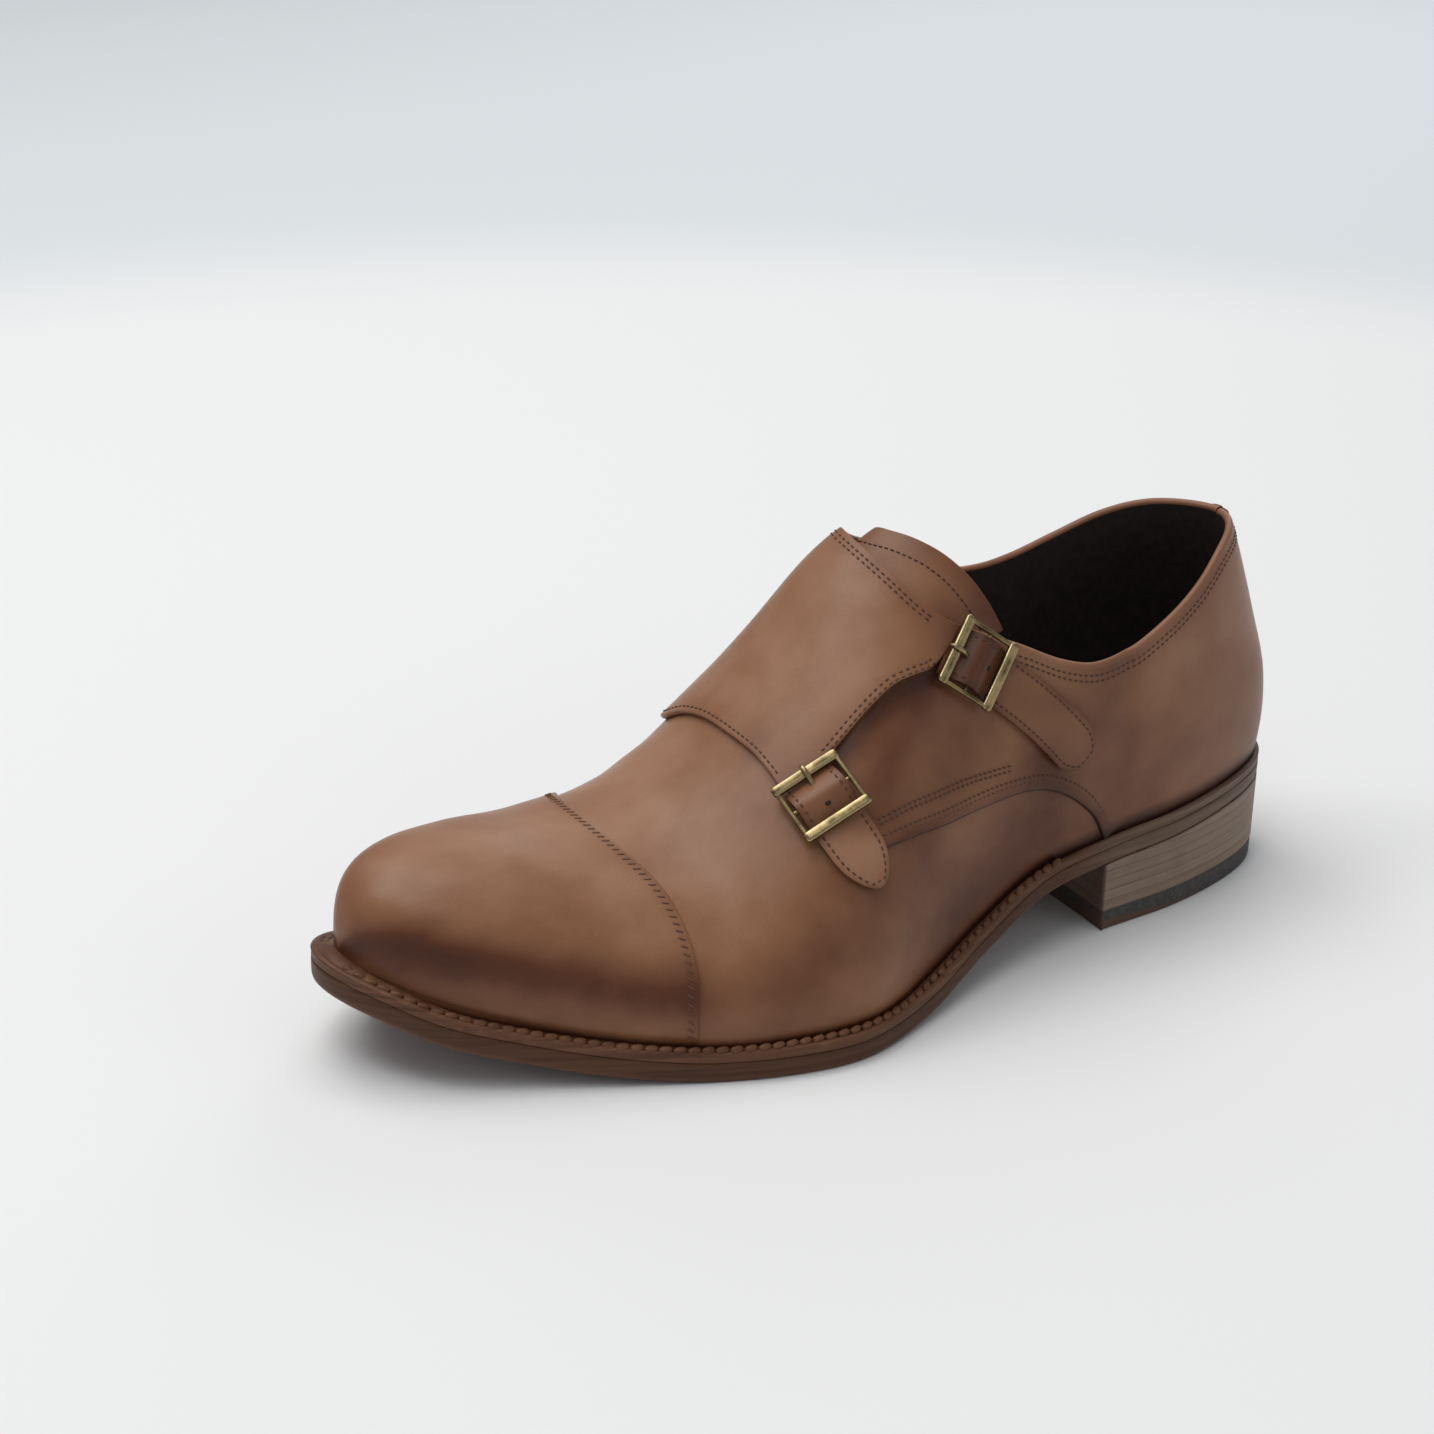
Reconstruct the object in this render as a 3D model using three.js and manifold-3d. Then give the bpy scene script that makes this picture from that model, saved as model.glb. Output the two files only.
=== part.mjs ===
// Monk strap shoe for the left foot, standing empty on its sole.
// Millimetres. Toe towards -X, heel towards +X, buckle (outer) side towards -Y, +Z up.
// The floor is z = 0. Every leather piece is worked out from one function, lastPoint.
import * as THREE from 'three';
import { mergeVertices } from 'three/addons/utils/BufferGeometryUtils.js';
import Module from 'manifold-3d';

// ---- driving sizes ----
const soleLength = 300;
const toeSetback = 6.4; // welt showing in front of the toe
const heelSetback = 1.5; // seat edge showing behind the heel
const wall = 2.2; // upper leather with its lining
const gap = 0.3; // clearance between neighbouring pieces
const bendGap = 0.55; // clearance between pieces that bend both ways
const overlay = 1.7; // thickness of the flap
const capProud = 1.6; // outside of the toe cap above the vamp
const tongueThick = 1.8;
const insoleThick = 3.0;
const weltThick = 2.6;
const edgeThickFront = 8.8; // outsole and welt together at the forefoot
const edgeThickHeel = 7.2; // and at the heel seat
const breast = 223; // front face of the heel, from the toe
const topPieceFront = 6.0; // rubber top piece, at the breast
const topPieceRear = 6.4; // and at the back
const strapWidth = 14.6;

// ---- tables, a row for each section, `at` is the distance from the toe ----
// Outline of the outsole seen from above, and the height of its underside.
const soleTable = [
  { at: 0, outer: 10, inner: 10, bottom: 22 },
  { at: 8, outer: -7.5, inner: 26.5, bottom: 18.6 },
  { at: 20, outer: -18.2, inner: 36, bottom: 13.2 },
  { at: 40, outer: -28.5, inner: 45.5, bottom: 7.2 },
  { at: 65, outer: -40.5, inner: 53.3, bottom: 2.0 },
  { at: 85, outer: -49.2, inner: 56.4, bottom: 0 },
  { at: 100, outer: -54.4, inner: 57.2, bottom: 0 },
  { at: 125, outer: -57.2, inner: 56, bottom: 0 },
  { at: 150, outer: -49, inner: 47.5, bottom: 1.6 },
  { at: 175, outer: -38.4, inner: 40.4, bottom: 8.6 },
  { at: 200, outer: -31.5, inner: 38, bottom: 17.6 },
  { at: 225, outer: -28.4, inner: 38, bottom: 20.9 },
  { at: 250, outer: -26, inner: 38.5, bottom: 22.6 },
  { at: 275, outer: -19.6, inner: 34.4, bottom: 24.7 },
  { at: 292, outer: -10.7, inner: 23.2, bottom: 26.1 },
  { at: 300, outer: 5.9, inner: 5.9, bottom: 26.6 },
];
// Last: feather edge on both sides, and the ridge along its top.
const lastTable = [
  { at: 6.4, outer: 10, inner: 10, ridgeY: 10, ridgeZ: 33 },
  { at: 10, outer: -0.8, inner: 19.8, ridgeY: 14.2, ridgeZ: 46 },
  { at: 16.4, outer: -8.8, inner: 27.3, ridgeY: 15.3, ridgeZ: 51 },
  { at: 27, outer: -17, inner: 35.3, ridgeY: 15.4, ridgeZ: 53.3 },
  { at: 45, outer: -26.5, inner: 43.5, ridgeY: 14.7, ridgeZ: 52.5 },
  { at: 70, outer: -38.4, inner: 50.5, ridgeY: 13.4, ridgeZ: 50.6 },
  { at: 100, outer: -50.8, inner: 53.7, ridgeY: 14.2, ridgeZ: 56 },
  { at: 130, outer: -52.4, inner: 51.3, ridgeY: 16, ridgeZ: 80.5 },
  { at: 155, outer: -42.5, inner: 41.4, ridgeY: 16, ridgeZ: 108 },
  { at: 175, outer: -34.7, inner: 36.9, ridgeY: 14, ridgeZ: 120 },
  { at: 195, outer: -29.6, inner: 35.4, ridgeY: 12, ridgeZ: 126 },
  { at: 220, outer: -26.7, inner: 35.7, ridgeY: 10, ridgeZ: 136 },
  { at: 250, outer: -23.8, inner: 36.6, ridgeY: 8, ridgeZ: 144 },
  { at: 275, outer: -17.6, inner: 32.4, ridgeY: 7, ridgeZ: 146 },
  { at: 292, outer: -8.3, inner: 20.6, ridgeY: 6.5, ridgeZ: 147 },
  { at: 298.5, outer: 6, inner: 6, ridgeY: 6, ridgeZ: 147 },
];
// Rounding of each section of the last: how steeply the outer and inner sides rise, how far they bulge
// beyond the feather edge, and how broad the top is.
const roundTable = [
  { at: 4.2, rise: 0.6, bulge: 0, flat: 0.72, riseIn: 0.6, bulgeIn: 0, flatIn: 0.72 },
  { at: 8, rise: 0.6, bulge: 1.6, flat: 0.72, riseIn: 0.65, bulgeIn: 1.5, flatIn: 0.77 },
  { at: 15, rise: 0.6, bulge: 1.8, flat: 0.72, riseIn: 0.65, bulgeIn: 1.6, flatIn: 0.77 },
  { at: 27, rise: 0.6, bulge: 2.2, flat: 0.72, riseIn: 0.64, bulgeIn: 1.8, flatIn: 0.78 },
  { at: 45, rise: 0.59, bulge: 2.8, flat: 0.71, riseIn: 0.64, bulgeIn: 2.0, flatIn: 0.78 },
  { at: 70, rise: 0.57, bulge: 3.1, flat: 0.63, riseIn: 0.63, bulgeIn: 2.4, flatIn: 0.76 },
  { at: 100, rise: 0.53, bulge: 3.3, flat: 0.52, riseIn: 0.62, bulgeIn: 3.0, flatIn: 0.74 },
  { at: 130, rise: 0.5, bulge: 3.2, flat: 0.49, riseIn: 0.59, bulgeIn: 3.1, flatIn: 0.69 },
  { at: 155, rise: 0.48, bulge: 3.0, flat: 0.48, riseIn: 0.55, bulgeIn: 3.1, flatIn: 0.64 },
  { at: 175, rise: 0.5, bulge: 2.5, flat: 0.48, riseIn: 0.53, bulgeIn: 3.0, flatIn: 0.6 },
  { at: 195, rise: 0.54, bulge: 2.1, flat: 0.54, riseIn: 0.55, bulgeIn: 3.2, flatIn: 0.66 },
  { at: 220, rise: 0.58, bulge: 2.2, flat: 0.6, riseIn: 0.6, bulgeIn: 3.6, flatIn: 0.78 },
  { at: 250, rise: 0.6, bulge: 2.0, flat: 0.6, riseIn: 0.6, bulgeIn: 2.6, flatIn: 0.7 },
  { at: 275, rise: 0.6, bulge: 1.4, flat: 0.6, riseIn: 0.6, bulgeIn: 1.6, flatIn: 0.62 },
  { at: 292, rise: 0.6, bulge: 1.0, flat: 0.55, riseIn: 0.6, bulgeIn: 1.0, flatIn: 0.6 },
  { at: 298.5, rise: 0.6, bulge: 0, flat: 0.5, riseIn: 0.6, bulgeIn: 0, flatIn: 0.5 },
];
// Back curve of the heel: how far the back leans out or in at each height.
const backTable = [
  { z: 32, lean: 0 },
  { z: 45, lean: 1.8 },
  { z: 58, lean: 1.0 },
  { z: 78, lean: -5 },
  { z: 102, lean: -13 },
  { z: 126, lean: -22 },
];
// Top edge of the upper seen from the side, on each side of the foot.
const toplineTable = [
  { x: -2, outer: 122, inner: 122 },
  { x: 10, outer: 106, inner: 108 },
  { x: 26, outer: 98.5, inner: 104.5 },
  { x: 45, outer: 90.5, inner: 97.5 },
  { x: 58, outer: 84.3, inner: 93 },
  { x: 68, outer: 81.7, inner: 91.8 },
  { x: 80, outer: 83, inner: 93 },
  { x: 95, outer: 88.7, inner: 97.5 },
  { x: 110, outer: 96, inner: 103.5 },
  { x: 122, outer: 103, inner: 106.8 },
  { x: 134, outer: 107, inner: 107.4 },
  { x: 160, outer: 108, inner: 108 },
];
// Rear edge of the toe cap, across the foot.
const capTable = [
  { across: -1, at: 81.5 },
  { across: -0.45, at: 82.5 },
  { across: 0, at: 77.5 },
  { across: 0.45, at: 85 },
  { across: 1, at: 88 },
];
// Edges of the monk flap, each from the inner side of the foot to the outer.
const flapFront = [
  { at: 130, across: 0.65 },
  { at: 122.5, across: 0.47 },
  { at: 117.4, across: 0.28 },
  { at: 118, across: 0.1 },
  { at: 118.9, across: -0.1 },
  { at: 120.3, across: -0.31 },
];
const flapRear = [
  { at: 212, across: 0.7 },
  { at: 205, across: 0.55 },
  { at: 194, across: 0.45 },
  { at: 180, across: 0.35 },
  { at: 168.5, across: 0.23 },
  { at: 162.7, across: 0.08 },
  { at: 162.7, across: -0.14 },
  { at: 167, across: -0.3 },
  { at: 176, across: -0.385 },
];
const flapInner = [
  { at: 130, across: 0.65 },
  { at: 147, across: 0.72 },
  { at: 168, across: 0.77 },
  { at: 190, across: 0.78 },
  { at: 212, across: 0.7 },
];
const flapOuter = [
  { at: 120.3, across: -0.31 },
  { at: 134, across: -0.335 },
  { at: 147, across: -0.385 },
  { at: 160, across: -0.405 },
  { at: 176, across: -0.385 },
];
// Straps: route of each on the last, from the flap to the tip.
const strapTable = [
  {
    name: 'lower',
    route: [
      { at: 126.4, across: -0.345 },
      { at: 127.8, across: -0.43 },
      { at: 129.7, across: -0.525 },
      { at: 132.2, across: -0.615 },
      { at: 134.9, across: -0.695 },
    ],
  },
  {
    name: 'upper',
    route: [
      { at: 171.5, across: -0.44 },
      { at: 178.8, across: -0.515 },
      { at: 187, across: -0.594 },
      { at: 199, across: -0.708 },
      { at: 213, across: -0.84 },
    ],
  },
];
const strapThick = 1.6;
const strapLift = 0.45; // underside of the straps above the upper
const strapHump = 4.5; // rise of the strap where it passes over the pin
const humpReach = 6.8;
const tipRound = 9; // length over which the tip narrows
const buckle = { length: 18, width: 19.8, thick: 1.6, lift: 2.45, bar: 2.1, rail: 1.7, pin: 1.6 };
const buckleCorner = 1.5;
const prongRadius = 0.75;

const wasm = await Module();
wasm.setup();

// ---- smooth curves through the tables ----
// Cubic through each pair of rows, with slopes from the parabola through a row and its neighbours.
function smooth(rows, place, column) {
  const xs = rows.map(place);
  const ys = rows.map((row) => row[column]);
  const last = rows.length - 1;
  const steep = xs.slice(1).map((x, i) => (ys[i + 1] - ys[i]) / (x - xs[i]));
  const slopes = xs.map((x, i) => {
    if (i === 0) return 1.5 * steep[0] - 0.5 * steep[1];
    if (i === last) return 1.5 * steep[last - 1] - 0.5 * steep[last - 2];
    const before = x - xs[i - 1];
    const after = xs[i + 1] - x;
    return (steep[i - 1] * after + steep[i] * before) / (before + after);
  });
  return (x) => {
    const held = THREE.MathUtils.clamp(x, xs[0], xs[last]);
    let i = 0;
    while (i < last - 1 && held > xs[i + 1]) i += 1;
    const h = xs[i + 1] - xs[i];
    const s = (held - xs[i]) / h;
    const r = 1 - s;
    const ends = ys[i] * (1 + 2 * s) * r * r + ys[i + 1] * (3 - 2 * s) * s * s;
    return ends + h * (slopes[i] * s * r * r - slopes[i + 1] * s * s * r);
  };
}

// A station runs 0..1 from toe to heel and is crowded at both ends, so that they come out round.
function stationOf(at, first, final) {
  const share = THREE.MathUtils.clamp((at - first) / (final - first), 0, 1);
  return Math.acos(1 - 2 * share) / Math.PI;
}
function atOf(station, first, final) {
  return first + ((final - first) * (1 - Math.cos(Math.PI * station))) / 2;
}
const lastStart = toeSetback;
const lastEnd = soleLength - heelSetback;
const soleCurve = (column) => smooth(soleTable, (row) => stationOf(row.at, 0, soleLength), column);
const lastStation = (row) => stationOf(row.at, lastStart, lastEnd);
const soleOuter = soleCurve('outer');
const soleInner = soleCurve('inner');
const soleBottom = smooth(soleTable, (row) => row.at, 'bottom');
const last = {};
for (const rows of [lastTable, roundTable]) {
  for (const column of Object.keys(rows[0]).slice(1)) last[column] = smooth(rows, lastStation, column);
}
const backLean = smooth(backTable, (row) => row.z, 'lean');
const toplineOuter = smooth(toplineTable, (row) => row.x, 'outer');
const toplineInner = smooth(toplineTable, (row) => row.x, 'inner');

const edgeThick = (at) => THREE.MathUtils.lerp(edgeThickFront, edgeThickHeel, at / soleLength);
const soleUnder = (at) => Math.max(0, soleBottom(at));
const weltTop = (at) => soleUnder(at) + edgeThick(at);
const featherZ = (at) => weltTop(at) + gap;

// ---- the last ----
// across runs from -1 (outer feather edge) over 0 (ridge) to 1 (inner feather edge).
function bareLast(station, across) {
  const at = atOf(station, lastStart, lastEnd);
  const inner = across > 0;
  const side = inner ? 1 : -1;
  const tip = Math.min(1, 3 * Math.sin(Math.PI * station));
  const foot = inner ? last.inner(station) : last.outer(station);
  const rise = inner ? last.riseIn(station) : last.rise(station);
  const bulge = inner ? last.bulgeIn(station) : last.bulge(station);
  const flat = inner ? last.flatIn(station) : last.flat(station);
  const low = featherZ(at);
  const high = last.ridgeZ(station);
  const ridge = station < 1e-6 || station > 1 - 1e-6 ? foot : last.ridgeY(station);
  const s = 1 - Math.abs(across);
  const r = 1 - s;
  const y1 = foot + side * bulge * tip;
  const y2 = ridge + (foot - ridge) * flat;
  const y = r ** 3 * foot + 3 * s * r * r * y1 + 3 * s * s * r * y2 + s ** 3 * ridge;
  const z1 = low + rise * (high - low);
  const z = r ** 3 * low + 3 * s * r * r * z1 + 3 * s * s * r * high + s ** 3 * high;
  const share = THREE.MathUtils.smoothstep(at, 190, lastEnd);
  const x = at - soleLength / 2 + share * backLean(THREE.MathUtils.clamp(z, 32, 126));
  return new THREE.Vector3(x, y, z);
}
// Outward direction on one side of the last, from short steps along and across.
function sideNormal(station, side, reach) {
  const u = THREE.MathUtils.clamp(station, 0.012, 0.988);
  const t = side * THREE.MathUtils.clamp(reach, 0.02, 0.98);
  const along = bareLast(u + 0.006, t).sub(bareLast(u - 0.006, t));
  const over = bareLast(u, t + 0.015).sub(bareLast(u, t - 0.015));
  return along.cross(over).normalize();
}
// At the ridge and at both ends the directions of the two sides are blended, so that they meet there.
function outward(station, across) {
  const side = across > 0 ? 1 : -1;
  const reach = Math.abs(across);
  const nearEnd = Math.min(1, Math.min(station, 1 - station) / 0.03);
  const nearRidge = Math.min(1, reach / 0.04);
  const own = 0.5 + 0.5 * Math.min(nearEnd, nearRidge);
  const here = sideNormal(station, side, reach);
  const other = sideNormal(station, -side, reach);
  return here.multiplyScalar(own).addScaledVector(other, 1 - own).normalize();
}
function lastPoint(station, across, lift) {
  return bareLast(station, across).addScaledVector(outward(station, across), lift);
}
const onLast = (at, across, lift) => lastPoint(stationOf(at, lastStart, lastEnd), across, lift);

// ---- meshes ----
// Closed solid between rings of points; each ring is a closed loop, the end rings are filled.
function ringFaces(ringCount, count, used = count) {
  const faces = [];
  for (let i = 0; i < ringCount - 1; i += 1) {
    for (let j = 0; j < used; j += 1) {
      const a = i * count + j;
      const b = i * count + ((j + 1) % count);
      faces.push(a, b, b + count, a, b + count, a + count);
    }
  }
  return faces;
}
function ringSolid(rings, fillEnds) {
  const count = rings[0].length;
  const positions = rings.flat().flatMap((p) => [p.x, p.y, p.z]);
  const faces = ringFaces(rings.length, count);
  if (fillEnds) {
    const end = (rings.length - 1) * count;
    for (let j = 1; j < count - 1; j += 1) {
      faces.push(0, j + 1, j);
      faces.push(end, end + j, end + j + 1);
    }
  }
  return tidy(positions, faces);
}
// Two-layer sheet: inside and outside are grids of points (rows by columns) of the same size.
// Each row is a ring round the sheet, and the two end rows are closed with strips across the thickness.
// Rows that all start at one end of the last meet there, so `meetAtStart` leaves out the wall between them.
function sheetSolid(inside, outside, meetAtStart = false) {
  const rings = inside.map((row, i) => [...row, ...[...outside[i]].reverse()]);
  const count = rings[0].length;
  const positions = rings.flat().flatMap((p) => [p.x, p.y, p.z]);
  const faces = ringFaces(rings.length, count, meetAtStart ? count - 1 : count);
  const end = (rings.length - 1) * count;
  for (let j = 0; j < count / 2 - 1; j += 1) {
    const k = count - 1 - j;
    faces.push(j, k, j + 1, j + 1, k, k - 1);
    faces.push(end + j, end + j + 1, end + k, end + j + 1, end + k - 1, end + k);
  }
  return tidy(positions, faces);
}
// Merges equal points, drops empty faces and turns the solid the right way out.
function tidy(positions, faces) {
  const raw = new THREE.BufferGeometry();
  raw.setAttribute('position', new THREE.Float32BufferAttribute(positions, 3));
  raw.setIndex(faces);
  const merged = mergeVertices(raw, 1e-3);
  const index = merged.index.array;
  const kept = [];
  for (let i = 0; i < index.length; i += 3) {
    const [a, b, c] = [index[i], index[i + 1], index[i + 2]];
    if (a !== b && b !== c && c !== a) kept.push(a, b, c);
  }
  merged.setIndex(kept);
  if (volumeOf(merged) < 0) {
    for (let i = 0; i < kept.length; i += 3) kept.splice(i, 3, kept[i], kept[i + 2], kept[i + 1]);
    merged.setIndex(kept);
  }
  return merged;
}
function volumeOf(geometry) {
  const place = geometry.attributes.position;
  const index = geometry.index.array;
  const corner = (k) => new THREE.Vector3().fromBufferAttribute(place, index[k]);
  let sum = 0;
  for (let i = 0; i < index.length; i += 3) sum += corner(i).dot(corner(i + 1).cross(corner(i + 2))) / 6;
  return sum;
}
function toManifold(geometry) {
  const vertProperties = Float32Array.from(geometry.attributes.position.array);
  const triVerts = Uint32Array.from(geometry.index.array);
  return new wasm.Manifold(new wasm.Mesh({ numProp: 3, vertProperties, triVerts }));
}
function fromManifold(solid) {
  const mesh = solid.getMesh();
  return tidy(Array.from(mesh.vertProperties), Array.from(mesh.triVerts));
}

const group = new THREE.Group();
const finishes = {
  tan: { color: 0x92694e, roughness: 0.42, metalness: 0 },
  dark: { color: 0x6f4a35, roughness: 0.45, metalness: 0 },
  lining: { color: 0x35241b, roughness: 0.8, metalness: 0 },
  edge: { color: 0x5f4a3c, roughness: 0.6, metalness: 0 },
  stack: { color: 0x6b5a4c, roughness: 0.6, metalness: 0 },
  rubber: { color: 0x3a3735, roughness: 0.85, metalness: 0 },
  brass: { color: 0x9a8450, roughness: 0.35, metalness: 1 },
};
function addPiece(name, geometry, finish) {
  geometry.computeVertexNormals();
  const mesh = new THREE.Mesh(geometry, new THREE.MeshStandardMaterial(finishes[finish]));
  mesh.name = name;
  group.add(mesh);
  return mesh;
}
const steps = (count) => Array.from({ length: count + 1 }, (_, i) => i / count);

// ---- sole, welt and heel ----
// Slab with the outline of the sole, pulled in by `inset`, between two heights given by station.
function soleSlab(fromAt, toAt, inset, lowAt, highAt, count) {
  const first = stationOf(fromAt, 0, soleLength);
  const final = stationOf(toAt, 0, soleLength);
  const rings = steps(count).map((share) => {
    const station = THREE.MathUtils.lerp(first, final, share);
    const at = atOf(station, 0, soleLength);
    const middle = (soleOuter(station) + soleInner(station)) / 2;
    const half = (soleInner(station) - soleOuter(station)) / 2;
    const narrow = half < 1e-3 ? 0 : Math.max(0, 1 - inset / Math.max(half, 2 * inset));
    const x = (at - soleLength / 2) * (1 - inset / (soleLength / 2));
    const outer = middle - half * narrow;
    const inner = middle + half * narrow;
    const place = (y, z) => new THREE.Vector3(x, y, z);
    const [low, high] = [lowAt(at), highAt(at)];
    return [place(outer, low), place(inner, low), place(inner, high), place(outer, high)];
  });
  return ringSolid(rings, true);
}
const outsoleTop = (at) => weltTop(at) - weltThick - gap;
const topPieceTop = (at) => THREE.MathUtils.mapLinear(at, breast, soleLength, topPieceFront, topPieceRear);

addPiece('outsole', soleSlab(0, soleLength, 0, soleUnder, outsoleTop, 56), 'edge');
addPiece('welt', soleSlab(0, soleLength, 0.5, (at) => outsoleTop(at) + gap, weltTop, 56), 'edge');
const stackLow = (at) => topPieceTop(at) + gap;
const stackHigh = (at) => soleUnder(at) - gap;
addPiece('heel_stack', soleSlab(breast, soleLength, 0, stackLow, stackHigh, 16), 'stack');
addPiece('heel_top_piece', soleSlab(breast, soleLength, 0.4, () => 0, topPieceTop, 16), 'rubber');

// ---- upper: hollow, cut along the top edge, open underneath ----
// Closed form of the last at a lift; `drop` carries its open foot down below the feather edge.
// Sections stand closer together over the instep, where the form bends most.
function lastForm(lift, drop, alongCount, acrossCount) {
  const columns = steps(acrossCount).map((share) => share * 2 - 1);
  const rings = steps(alongCount).map((share) => {
    const station = share + (0.4 * Math.sin(2 * Math.PI * share)) / (2 * Math.PI);
    const ring = columns.map((across) => lastPoint(station, across, lift));
    if (drop > 0) {
      const down = new THREE.Vector3(0, 0, -drop);
      ring.push(ring[acrossCount].clone().add(down));
      ring.push(ring[0].clone().add(down));
    }
    return ring;
  });
  return toManifold(ringSolid(rings, false));
}
// Everything above the top edge, with the outer line at low y and the inner line at high y.
function aboveTopline() {
  const reach = 130;
  const turn = 14;
  const rings = steps(60).map((share) => {
    const x = THREE.MathUtils.lerp(-30, 170, share);
    const outer = x < toplineTable[0].x ? 150 : toplineOuter(x);
    const inner = x < toplineTable[0].x ? 150 : toplineInner(x);
    const place = (y, z) => new THREE.Vector3(x, y, z);
    const outerEdge = [place(-reach, outer), place(turn - 7, outer)];
    const innerEdge = [place(turn + 7, inner), place(reach, inner)];
    return [...outerEdge, ...innerEdge, place(reach, 190), place(-reach, 190)];
  });
  return toManifold(ringSolid(rings, true));
}
const upperSolid = lastForm(0, 0, 46, 30).subtract(lastForm(-wall, 8, 42, 30)).subtract(aboveTopline());
addPiece('upper', fromManifold(upperSolid), 'tan');

// Sheet on the last: edge(v, w) gives at and across for v over the foot and w along it.
function lastSheet(edge, low, high, overCount, alongCount) {
  const layer = (lift) =>
    steps(overCount).map((v) =>
      steps(alongCount).map((w) => {
        const spot = edge(v, w);
        return onLast(spot.at, spot.across, lift(v, w));
      }),
    );
  return sheetSolid(layer(low), layer(high));
}

// ---- toe cap ----
function clearOfWelt(point) {
  const lowest = weltTop(point.x + soleLength / 2) + gap;
  return point.setZ(Math.max(point.z, lowest));
}
const capRear = smooth(capTable, (row) => row.across, 'at');
function toeCap() {
  const reach = 0.985;
  const layer = (lift) =>
    steps(22).map((v) => {
      const across = THREE.MathUtils.lerp(-reach, reach, v);
      const final = stationOf(capRear(across), lastStart, lastEnd);
      return steps(10).map((w) => clearOfWelt(lastPoint(w * final, across, lift)));
    });
  return sheetSolid(layer(bendGap), layer(capProud), true);
}
addPiece('toe_cap', toeCap(), 'tan');

// ---- tongue, under the throat ----
const tongueFront = 132;
const tongueTop = (across) => 177 + 85 * across * across;
function tongueSpot(v, w) {
  const across = THREE.MathUtils.lerp(-0.5, 0.5, v);
  return { at: THREE.MathUtils.lerp(tongueFront, tongueTop(across), w), across };
}
const tongueHigh = -wall - 2 * bendGap;
const tongueLow = tongueHigh - tongueThick;
addPiece('tongue', lastSheet(tongueSpot, () => tongueLow, () => tongueHigh, 15, 12), 'tan');

// ---- insole, inside the wall ----
function insole() {
  const first = 0.05;
  const rings = steps(40).map((share) => {
    const station = THREE.MathUtils.lerp(first, 1 - first, share);
    const outer = lastPoint(station, -1, -wall - 3 * gap);
    const inner = lastPoint(station, 1, -wall - 3 * gap);
    const low = featherZ(atOf(station, lastStart, lastEnd)) + 0.1;
    const high = low + insoleThick;
    const place = (p, z) => new THREE.Vector3(p.x, p.y, z);
    return [place(outer, low), place(inner, low), place(inner, high), place(outer, high)];
  });
  return ringSolid(rings, true);
}
addPiece('insole', insole(), 'lining');

// ---- monk flap: the inner quarter's extension over the instep ----
const edgeCurve = (rows) => {
  const points = rows.map((row) => new THREE.Vector3(row.at / 100, row.across, 0));
  const curve = new THREE.CatmullRomCurve3(points, false, 'centripetal');
  return (share) => curve.getPoint(share);
};
const [front, rear, innerEdge, outerEdge] = [flapFront, flapRear, flapInner, flapOuter].map(edgeCurve);
// Surface between four edges: the two pairs are blended and the corners taken off once.
function flapSpot(v, w) {
  const along = front(v).lerp(rear(v), w);
  const over = innerEdge(w).lerp(outerEdge(w), v);
  const low = front(0).lerp(front(1), v);
  const high = rear(0).lerp(rear(1), v);
  const spot = along.add(over).sub(low.lerp(high, w));
  return { at: spot.x * 100, across: spot.y };
}
// The flap thins towards its rear inner corner, where it runs into the quarter.
const flapTop = (v, w) => {
  const at = flapSpot(v, w).at;
  return bendGap + overlay * (1 - 0.75 * THREE.MathUtils.smoothstep(at, 180, 212) * (1 - v));
};
addPiece('monk_flap', lastSheet(flapSpot, () => bendGap, flapTop, 25, 13), 'tan');

// ---- straps and buckles ----
// Spot on the last reached from a spot by a short vector along its surface.
function spotBeside(spot, offset) {
  const step = 0.5;
  const turn = 0.01;
  const here = onLast(spot.at, spot.across, 0);
  const along = onLast(spot.at + step, spot.across, 0).sub(here).divideScalar(step);
  const over = onLast(spot.at, spot.across + turn, 0).sub(here).divideScalar(turn);
  const [aa, ao, oo] = [along.dot(along), along.dot(over), over.dot(over)];
  const [oa, ob] = [offset.dot(along), offset.dot(over)];
  const whole = aa * oo - ao * ao;
  return { at: spot.at + (oa * oo - ob * ao) / whole, across: spot.across + (ob * aa - oa * ao) / whole };
}
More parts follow.
